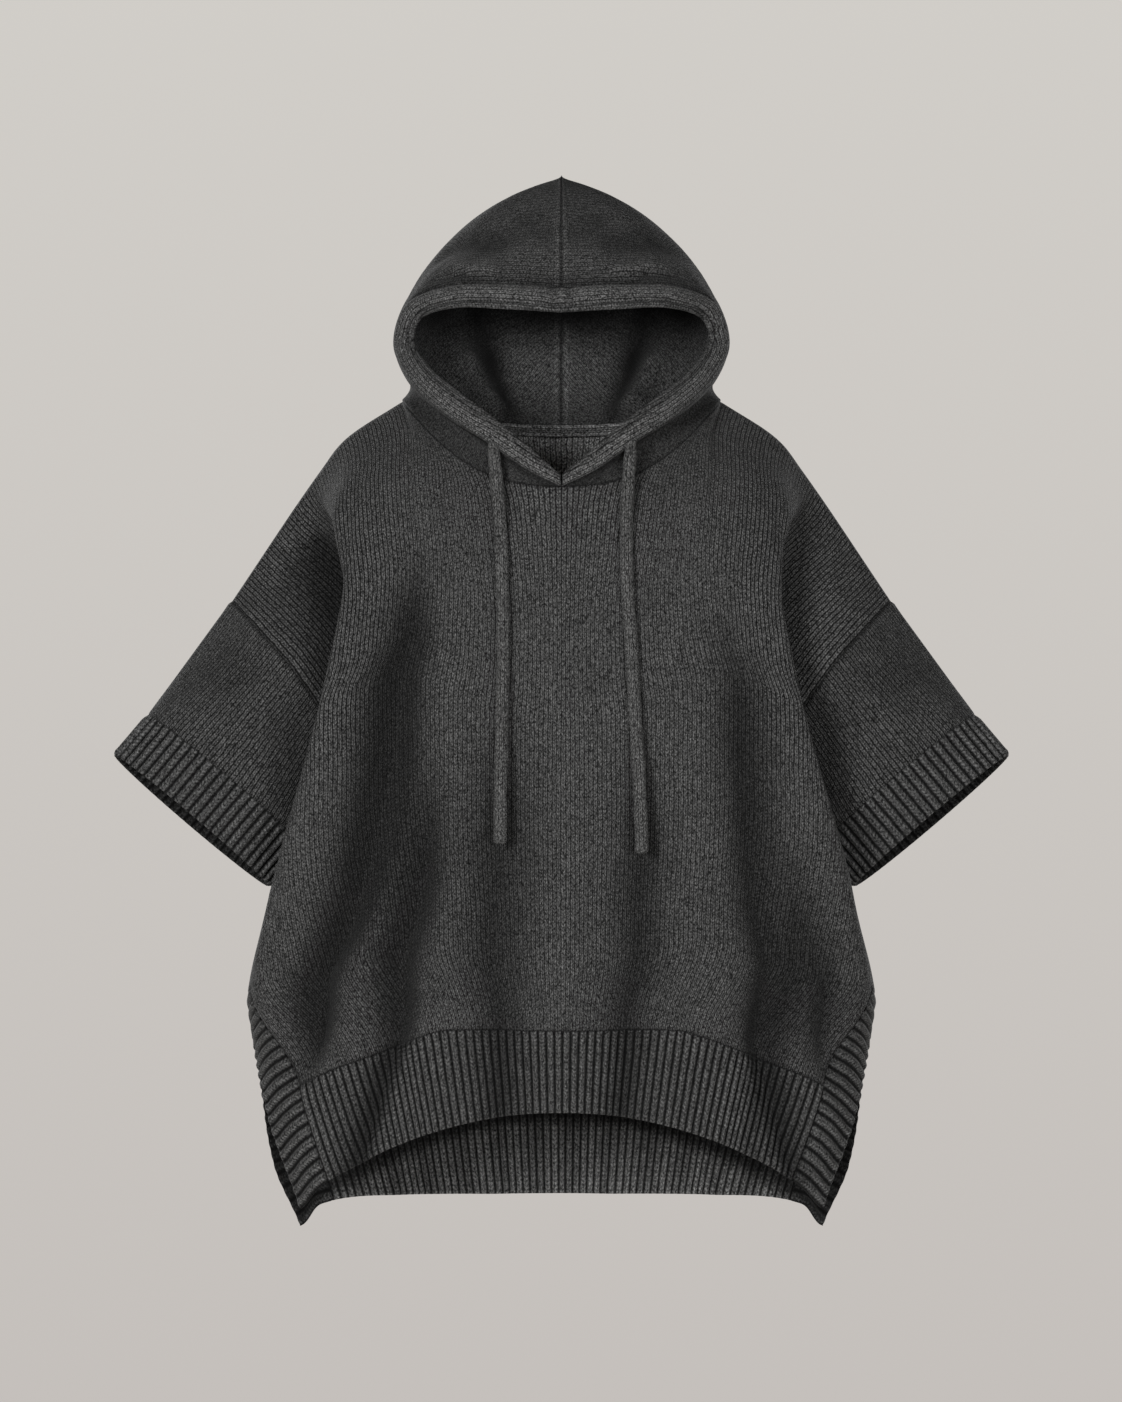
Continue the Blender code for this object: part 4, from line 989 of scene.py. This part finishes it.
def make_body(panel):
    """The front or the back: plain knit from the neck and shoulders down to the hem's seam."""
    points, fold_light = drape(panel, BODY_PLACES, BODY_LEVELS, shaded=True)
    signed, down = np.array(BODY_PLACES)[None, :], np.array(BODY_LEVELS)[:, None]
    across = np.abs(signed)
    beyond = (across[:, 1:] + across[:, :-1]) / 2 > BAND_SEAM
    below = (down[1:] + down[:-1]) / 2 > SLIT_TOP
    body = Cloth(f"{panel}_body", f"{panel}_panel", points, OUTWARD[panel], "body",
                 ~(beyond & below))
    to_band = np.hypot(np.maximum(0, BAND_SEAM - across) * PANEL_HALF_WIDTH,
                       np.maximum(0, SLIT_TOP - down) * NOMINAL_LENGTH)
    to_seam = np.minimum.reduce([(1 - across) * PANEL_HALF_WIDTH + 0 * down,
                                 down * NOMINAL_LENGTH + 0 * across,
                                 (HEM_SEAM - down) * NOMINAL_LENGTH + 0 * across, to_band])
    relief = seam_relief(to_seam)
    body.above += relief
    body.below += 0.5 * relief
    body.chart(signed * PANEL_HALF_WIDTH, run_length(points[::-1])[::-1])
    # painted shade in the folds and in the seams' grooves
    body.shade = fold_light * seam_shade(to_seam, DEEP_SEAM_DARK)
    shoulder = smooth((across - 0.34) / 0.2) * smooth((0.52 - down) / 0.14)
    near_neck = (NECK_LINED if panel == "front" else 0.0) * smooth(1.2 - down / 0.14)
    body.lined = LINED + SHOULDER_LINED * np.maximum(shoulder, near_neck)
    if panel == "front":
        # painted highlight on the strip where the neck seam turns up
        turned = np.exp(-((signed - SEAM_TURN_PLACE) / 0.013) ** 2)
        body.shade = body.shade * (1 + 0.6 * turned * smooth(1.3 - down / 0.06))
    else:
        # painted light on the inside of the back, more near the neck and most by the throat, where
        # it lies in shadow
        near_neck = smooth(1.3 - down / 0.15) * smooth(1.6 - across / 0.25)
        throat = smooth((down - 0.03) / 0.04) * smooth((0.16 - down) / 0.06)
        body.inner_shade = 1.9 + 1.3 * near_neck * (1 + 2.0 * throat)


def make_hem(panel):
    """A ribbed hem, whose ribs run up and down between the slit bands."""
    dense = np.linspace(-BAND_SEAM, BAND_SEAM, 801)
    seam = drape(panel, dense, [HEM_SEAM])[0]
    places, _, wales, heights = ribs_along(seam, dense, HEM_RIB)
    scale = HEM_LENGTH / (1 - HEM_SEAM)
    levels = lines(HEM_SEAM, 1.0, 5.0, scale, True, True)
    points, fold_light = drape(panel, places, levels, shaded=True)
    hem = Cloth(f"{panel}_hem", f"{panel}_hem_rib", points, OUTWARD[panel], "hem")
    # painted shade in the folds
    hem.shade = fold_light
    down = np.array(levels)[:, None]
    rib_edge(hem, heights, wales, (down - HEM_SEAM) * scale, (1.0 - down) * scale)
    if panel == "back":
        # painted light on the inside of the back's hem, painted shade in slow stripes across it,
        # and the painted shadow of the front's hem
        painted_wave_shade = 1 - 0.3 * np.sin(places[None, :] * 24.0 + 0.6) ** 2
        hem.inner_shade = 1.9 * painted_wave_shade * hem_shadow(points)


def make_band(panel, name, side):
    """The ribbed band along one side of a slit, whose ribs run across it."""
    dense = np.linspace(SLIT_TOP, 1.0, 301)
    seam = drape(panel, [side * BAND_SEAM], dense)[:, 0]
    levels, from_top, wales, heights = ribs_along(seam, dense, SLIT_RIB)
    half = np.array(lines(BAND_SEAM, 1.0, 3.4, PANEL_HALF_WIDTH, True, True))
    places = half if side > 0 else -half[::-1]
    points, fold_light = drape(panel, places, levels, shaded=True)
    band = Cloth(f"{panel}_band_{name}", f"{panel}_slit_band_{name}", points, OUTWARD[panel],
                 "slit")
    from_seam = ((np.abs(places) - BAND_SEAM) * PANEL_HALF_WIDTH)[None, :]
    from_edge = ((1.0 - np.abs(places)) * PANEL_HALF_WIDTH)[None, :]
    relief = (seam_relief(from_seam, 0.6, 0.2) + free_edge(from_edge)
              + free_edge(from_top[-1] - from_top)[:, None]
              + seam_relief(from_top, 0.5, 0.0)[:, None])
    raise_ribs(band, heights[:, None],
               smooth(from_seam / 5.0) * (0.25 + 0.75 * smooth(from_edge / 5.0)), relief)
    band.chart(wales[:, None], from_edge)
    # painted shade in the folds and the seam's groove; inside, painted shade on the front's band,
    # and on the back's painted light with the hem's painted shadow
    band.shade = fold_light * seam_shade(from_seam, 0.45)
    band.inner_shade = (0.5 if panel == "front" else 1.3 * hem_shadow(points)) * band.shade


# ---- sleeves and cuffs ----
def cuff_ring(side, shares, back_off, half_deep):
    """A ring of the cuff; shares run 0 to 1 from the tip down the front and 1 to 2 back up."""
    tip, heel = np.array(CUFF_TIP), np.array(CUFF_HEEL)
    centre, half = (tip + heel) / 2, (tip - heel) / 2
    up_arm = np.cross(half / np.linalg.norm(half), (0.0, 1.0, 0.0))
    turn = pi * np.asarray(shares)[:, None]
    ring = centre + half * np.cos(turn) + np.array((0.0, -half_deep, 0.0)) * np.sin(turn)
    ring = ring + up_arm * (back_off + CUFF_SKEW * np.sin(turn))
    return ring * (side, 1, 1)


def armhole(side):
    """The armhole seam, from the shoulder down the front and up the back, with its shares."""
    front, back = (drape(panel, [side], ARM_LEVELS)[:, 0] for panel in ("front", "back"))
    ring = np.concatenate([front, back[-2::-1]])
    length = run_length(ring)
    middle = length[len(ARM_LEVELS) - 1]
    shares = np.where(length <= middle, length / middle,
                      1 + (length - middle) / (length[-1] - middle))
    return ring, shares, length[-1]


SLEEVE_LENGTH = 118.0
SLEEVE_ROWS = unit(lines(0, 1, 4.2, SLEEVE_LENGTH, True, True))
SLEEVE_SAG = ((0.16, 3.2, 0.10), (0.36, 2.6, 0.08), (0.60, 3.0, 0.11), (0.85, 10.0, 0.14),
              (1.22, 2.8, 0.10), (1.47, 2.4, 0.09), (1.78, 3.0, 0.10))  # share, depth, width


def make_sleeve(name, side):
    """A short sleeve, from the armhole to the cuff, with its sags and its crease."""
    ring, shares, round_length = armhole(side)
    cuff = cuff_ring(side, shares, CUFF_DEPTH, CUFF_SEAM_HALF_DEEP)
    rows = SLEEVE_ROWS[:, None]
    points = ring + (cuff - ring) * rows[:, :, None]
    sleeve = Cloth(f"sleeve_knit_{name}", f"sleeve_{name}", points, side, "body", ring=True)
    press = np.zeros(points.shape[:2])
    for share, depth, width in SLEEVE_SAG:
        lean = share + 0.05 * np.sin(3 * rows + 7 * share)
        swell = np.sin(pi * np.clip(rows * 1.15, 0, 1))
        press += depth * swell * np.exp(-((shares[None, :] - lean) / width) ** 2)
    sleeve.points -= sleeve.normals * press[:, :, None]
    sleeve.points[:, -1] = sleeve.points[:, 0]
    sleeve.normals = sleeve.find_normals()
    from_top, from_cuff = rows * SLEEVE_LENGTH, (1 - rows) * SLEEVE_LENGTH
    relief = seam_relief(from_top) + seam_relief(from_cuff, 0.5, 0.1)
    sleeve.above += relief
    sleeve.below += 0.5 * relief
    sleeve.chart(shares[None, :] / 2 * round(round_length / WALE) * WALE, from_cuff)
    sleeve.lined[:] = SLEEVE_LINED
    # painted shade: in the seams' grooves, a little over the whole sleeve, and deeper in its sags
    # and crease
    sleeve.shade = (seam_shade(from_top, DEEP_SEAM_DARK) * seam_shade(from_cuff, RIB_SEAM_DARK)
                    * (0.88 - 0.6 * smooth(press / 7.5)))


def make_cuff(name, side):
    """A ribbed cuff, open at its end."""
    dense = np.linspace(0, 2, 801)
    seam = cuff_ring(side, dense, CUFF_DEPTH, CUFF_SEAM_HALF_DEEP)
    places, _, wales, heights = ribs_along(seam, dense, CUFF_RIB)
    rows = unit(lines(0, 1, 4.6, CUFF_DEPTH, True, True))[:, None]
    start = cuff_ring(side, places, CUFF_DEPTH, CUFF_SEAM_HALF_DEEP)
    end = cuff_ring(side, places, 0.0, CUFF_HALF_DEEP)
    points = start + (end - start) * rows[:, :, None]
    points[:, -1] = points[:, 0]
    cuff = Cloth(f"cuff_ribs_{name}", f"cuff_{name}", points, side, "cuff", ring=True)
    rib_edge(cuff, heights, wales, rows * CUFF_DEPTH, (1 - rows) * CUFF_DEPTH)
    # painted shade on the inside of the cuff
    cuff.inner_shade = 0.3 * cuff.shade


# ---- hood, casing and tape ----
HOOD_TURN = 70.0  # mm of knit for each radian round the opening's corner
PEAK_START = 128.0  # how far up the crown the seams start to run into the peak


def beside_lines(points, side, rows):
    """How strongly each of the straight lines on one side acts at each point of the hood."""
    spots = points * (side, 1, 1)
    for row in map(HoodLine._make, rows):
        if row.side in (0, side):
            start, run = np.array(row[1:4]), np.array(row[4:7]) - np.array(row[1:4])
            share = np.clip((spots - start) @ run / (run @ run), 0, 1)
            away = np.linalg.norm(spots - start - share[:, :, None] * run, axis=2)
            yield row.depth * np.exp(-(away / row.width) ** 2)


def hood_chart(points):
    """The hood's stitches: columns of them run beside the opening's edge, up to the seam."""
    back = row_length(points[:, BRIM:])
    rise = np.zeros(points.shape[:2])
    rise[CHEEK:] = run_length(points[CHEEK:])
    level = run_length(points[:CHEEK + 1, BRIM])
    over = run_length(points[CHEEK, BRIM::-1])[::-1]
    chart = np.zeros((*points.shape[:2], 2))
    chart[:CHEEK + 1, BRIM:, 0] = back[:CHEEK + 1]
    chart[:CHEEK + 1, BRIM:, 1] = level[:, None]
    turn = np.arctan2(rise[CHEEK:, BRIM:], back[CHEEK:] + 1e-6)
    turn[0, 0] = 0.0
    chart[CHEEK:, BRIM:, 0] = np.hypot(rise[CHEEK:, BRIM:], back[CHEEK:])
    chart[CHEEK:, BRIM:, 1] = level[-1] + HOOD_TURN * turn
    chart[CHEEK:, :BRIM + 1, 0] = rise[CHEEK:, :BRIM + 1]
    chart[CHEEK:, :BRIM + 1, 1] = level[-1] + HOOD_TURN * pi / 2 + over[None, :]
    return chart


def make_hood(name, side):
    """One half of the hood, with the folds that stand into it and their painted shadows."""
    points, cells = hood_grid(side)
    hood = Cloth(f"hood_half_{name}", f"hood_{name}", points, side, "body", cells)
    in_crown = np.arange(len(points))[:, None] >= CHEEK
    up = np.concatenate([CHEEK_ROWS * CHEEK_HIGH, CHEEK_HIGH + CROWN_ROWS[1:] * CROWN_HIGH])
    along = np.concatenate([BRIM_COLUMNS - 1, FRONT_COLUMNS[1:], 1 + REAR_COLUMNS[1:]])
    up, along = up[:, None], along[None, :]
    to_neck, to_back = up + 0 * along, (2 - along) * REAR_LONG + 0 * up
    to_crown = np.where(in_crown, (1 + along) * BRIM_LONG, 999.0)
    to_opening = np.hypot(np.maximum(0, up - CHEEK_HIGH), np.maximum(0, along) * FRONT_LONG)
    welt = seam_relief(np.minimum(to_back, to_crown), 1.3, 1.0)
    plain = seam_relief(np.minimum(to_neck, to_opening))
    peak = smooth((up - CHEEK_HIGH - PEAK_START) / (CROWN_HIGH - PEAK_START))
    hood.above += (welt + plain) * (1 - peak) - 1.2 * peak
    hood.below += 0.7 * welt + 0.5 * plain
    hood.stitch = hood_chart(points)
    hold = (smooth(to_neck / 26.0) * smooth(to_back / 20.0) * smooth(to_crown / 12.0)
            * smooth((to_opening - 4.0) / 12.0))
    press = sum(beside_lines(points, side, HOOD_CREASES)) * hold
    hood.points = points - hood.normals * press[:, :, None]
    hood.normals = hood.find_normals()
    # painted shadow under the rolled casing, on the cloth next to the opening
    roll = 1 - 0.62 * np.interp(to_opening, (0.0, 4.0, 14.0, 26.0), (1.0, 0.8, 0.36, 0.0))
    # painted shade low at the front, by the throat
    throat = smooth((12.0 - points[:, :, 2]) / 30.0) * smooth(-points[:, :, 1] / 30.0)
    # painted shade, darker towards the top of the crown
    top = 1 - 0.16 * smooth((points[:, :, 2] - 105.0) / 50.0)
    # painted shade in the seams' grooves and where creases press in, painted highlight where they
    # stand out and on the welt beside the crown seam
    hood.shade = (roll * top * seam_shade(to_neck, 0.8) * seam_shade(to_crown)
                  * seam_shade(to_back, 0.4)
                  * (1 - 0.5 * smooth(press / 7.0) + 0.4 * smooth(-press / 4.0))
                  * (1 - 0.22 * throat) * (1 + 0.35 * np.exp(-((to_crown - 3.6) / 1.8) ** 2)))
    # inside: painted light overall, painted shade in the neck and opening seams, and a painted
    # highlight on the welt beside the back seam with painted shade in its groove
    hood.inner_shade = 1.08 * seam_shade(np.minimum(to_neck, to_opening), 0.5) * (
        1 + 0.6 * np.exp(-((to_back - 3.6) / 1.9) ** 2) - 0.4 * np.exp(-(to_back / 1.1) ** 2))
    # painted shadows inside the hood, behind the creases and under the brim
    for groove in beside_lines(points, side, HOOD_PAINTED_SHADOWS):
        hood.inner_shade *= 1 - groove


def make_casing():
    """The rolled casing round the face opening, from the throat up over the brim and back."""
    table = np.array(HOOD_OPENING)
    spacing = (np.linspace(0, 1, 110), np.linspace(0, 1, 66))
    sewn, free = (sectioned(edge, (0, OPENING_CORNER, -1), spacing)
                  for edge in (table[:, :3], table[:, 3:]))
    place, outside, inside = np.array(CASING_PROFILE).T
    half = sewn[:, None] + (free - sewn)[:, None] * place[:, None]
    points = np.concatenate([half, half[-2::-1] * (-1.0, 1.0, 1.0)])
    casing = Cloth("casing_roll", "hood_casing", points, -1, "body")
    length = run_length(points[:, 4])[:, None]
    uneven = 1 + 0.05 * np.sin(length / 13.0) + 0.04 * np.sin(length / 29.0 + 1.0)
    pucker = 0.055 * np.sin(length / 1.9 + 1.3 * np.sin(length / 11.0))
    off_middle, high = np.abs(points[:, :1, 0]), points[:, :1, 2] > 0
    pinch = 1 - 0.32 * np.exp(-((off_middle - 7.0) / 3.5) ** 2) * high
    wide = np.linalg.norm(points[:, -1] - points[:, 0], axis=1)[:, None]
    full = np.interp(wide, (10.0, 20.0), (0.55, 1.0))
    casing.above = outside * (uneven + pucker * place) * pinch * full
    casing.below = inside * (2 - uneven + pucker * place) * full
    # painted highlight and shade across the casing, and painted shade where its top is pinched
    casing.shade = np.interp(place, *np.array(CASING_SHADE).T) * pinch ** 0.7
    casing.chart(row_length(points), length)


def make_tape():
    """The tape that covers the neck seam, inside the back of the neck."""
    reach = NECK_REACH["back"] - WALL / 2 - 0.3 - TAPE_THICK
    x = np.linspace(-TAPE_HALF_LENGTH, TAPE_HALF_LENGTH, 45)
    turn = np.abs(x) / NECK_HALF_WIDTH
    y = reach * (1 - turn * turn) ** 0.5
    sag = -NECK_DROP["back"] * (1 - turn ** NECK_ROUNDNESS)
    place = np.linspace(0, 1, 12)[:, None]
    points = np.stack(np.broadcast_arrays(x, y, sag + TAPE_HEIGHT * (0.35 - place)), axis=-1)
    tape = Cloth("back_neck_tape", "neck_tape", points, 1, "tape")
    bulge = np.interp(place, (0, 0.1, 0.3, 0.5, 0.7, 0.9, 1),
                      (-0.4, 0.9, 1.2, -0.5, 1.2, 0.9, -0.4))
    tape.above[:] = TAPE_THICK / 2
    tape.below[:] = TAPE_THICK / 2 + bulge
    # painted highlight on the tape's two raised bands, painted shade at its edges and between them
    tape.inner_shade = np.interp(place, (0, 0.12, 0.3, 0.5, 0.7, 0.88, 1),
                                 (0.7, 2.4, 2.5, 0.8, 2.5, 2.4, 0.7)) + 0 * x[None, :]
    tape.chart(place * 10.8, x[None, :])


SIDES = (("left", -1), ("right", 1))
for panel in OUTWARD:
    make_body(panel)
    make_hem(panel)
    for name, side in SIDES:
        make_band(panel, name, side)
for name, side in SIDES:
    make_sleeve(name, side)
    make_cuff(name, side)
    make_hood(name, side)
make_casing()
make_tape()

sew_edges()
for cloth in Cloth.made:
    place_piece(cloth.name, cloth.mesh(), cloth.finish, cloth.node)

# ---- flat cut of each piece: width, length and area in metres ----
BODIES = ("front_body", "back_body")
CUTS = {
    "front_body": (0.71, 0.60, 0.405, ()),
    "back_body": (0.71, 0.66, 0.395, ()),
    "front_hem": (0.64, 0.076, None, BODIES[:1]),
    "back_hem": (0.64, 0.086, None, BODIES[1:]),
    "front_band_*": (0.055, 0.18, None, BODIES[:1]),
    "back_band_*": (0.055, 0.20, None, BODIES[1:]),
    "sleeve_knit_*": (0.44, 0.118, 0.047, BODIES),
    "cuff_ribs_*": (0.41, 0.050, None, ("sleeve_knit_*",)),
    "hood_half_*": (0.25, 0.36, 0.070, BODIES),
    "casing_roll": (0.030, 0.72, None, ("hood_half_left", "hood_half_right")),
    "back_neck_tape": (0.112, 0.011, None, BODIES[1:]),
}
for cut, (width, length, area, rests_on) in CUTS.items():
    for side in ("left", "right") if "*" in cut else ("",):  # * stands for the side of a pair
        bpy.data.objects[cut.replace("*", side)]
        [other.replace("*", side) for other in rests_on]


# ---- floor, backdrop colour and light ----
def set_stage():
    bm = bmesh.new()
    bmesh.ops.create_circle(bm, cap_ends=True, radius=9.0, segments=96)
    bmesh.ops.translate(bm, verts=bm.verts[:], vec=(0, 0, -1.25))
    data = bpy.data.meshes.new("floor")
    bm.to_mesh(data)
    bm.free()
    floor = bpy.data.objects.new("floor", data)
    bpy.context.scene.collection.objects.link(floor)
    bench = Bench(bpy.data.materials.new("pale_floor"), "Principled BSDF")
    split = bench.node("ShaderNodeSeparateXYZ",
                       {"Vector": bench.node("ShaderNodeTexCoord").outputs["Object"]}).outputs
    flat = bench.node("ShaderNodeCombineXYZ", {"X": split["X"], "Y": split["Y"]}).outputs["Vector"]
    far = bench.node("ShaderNodeVectorMath", {0: flat}, operation="LENGTH").outputs["Value"]
    bench.fill(bench.shader, {"Alpha": bench.ramp(far, 1.2, 3.6, 1.0, 0.0), "Roughness": 0.9,
                              "Base Color": (0.60, 0.575, 0.55, 1)})
    data.materials.append(bench.owner)


def set_world():
    bench = Bench(bpy.data.worlds.new("studio"), "Background")
    place = bench.node("ShaderNodeTexCoord").outputs["Generated"]
    split = bench.node("ShaderNodeSeparateXYZ", {"Vector": place})
    mix = bench.node("ShaderNodeMix", data_type="RGBA")
    bench.fill(mix, {"Factor": bench.ramp(split.outputs["Z"], -0.11, 0.11, 0.0, 1.0, "LINEAR"),
                     6: (0.552, 0.521, 0.497, 1), 7: (0.640, 0.618, 0.584, 1)})
    seen = bench.node("ShaderNodeLightPath").outputs["Is Camera Ray"]
    bench.fill(bench.shader, {"Color": mix.outputs[2],
                              "Strength": bench.ramp(seen, 0.0, 1.0, AMBIENT, 1.0, "LINEAR")})
    bpy.context.scene.world = bench.owner


AMBIENT = 0.12  # how much of the backdrop's light reaches the garment
# name, place, size, power
LIGHTS = (
    ("key_softbox", (-1.9, -5.1, 0.35), 1.5, 228.0),
    ("front_softbox", (1.6, -5.1, -0.35), 1.8, 112.0),
    ("back_softbox_left", (-2.6, 4.6, 0.9), 2.2, 260.0),
    ("back_softbox_right", (2.9, 4.4, 0.2), 2.2, 190.0),
    ("top_softbox", (0.4, 0.6, 4.6), 2.0, 20.0),
)


def set_lights():
    for name, place, size, power in LIGHTS:
        lamp = bpy.data.lights.new(name, "AREA")
        lamp.shape = "DISK"
        lamp.size = size
        lamp.energy = power
        holder = bpy.data.objects.new(name, lamp)
        holder.location = place
        aim = Vector((0, 0, -0.25)) - holder.location
        holder.rotation_euler = aim.to_track_quat("-Z", "Y").to_euler()
        bpy.context.scene.collection.objects.link(holder)


set_stage()
set_world()
set_lights()
bpy.context.scene.view_settings.view_transform = "Standard"
bpy.context.scene.view_settings.look = "None"
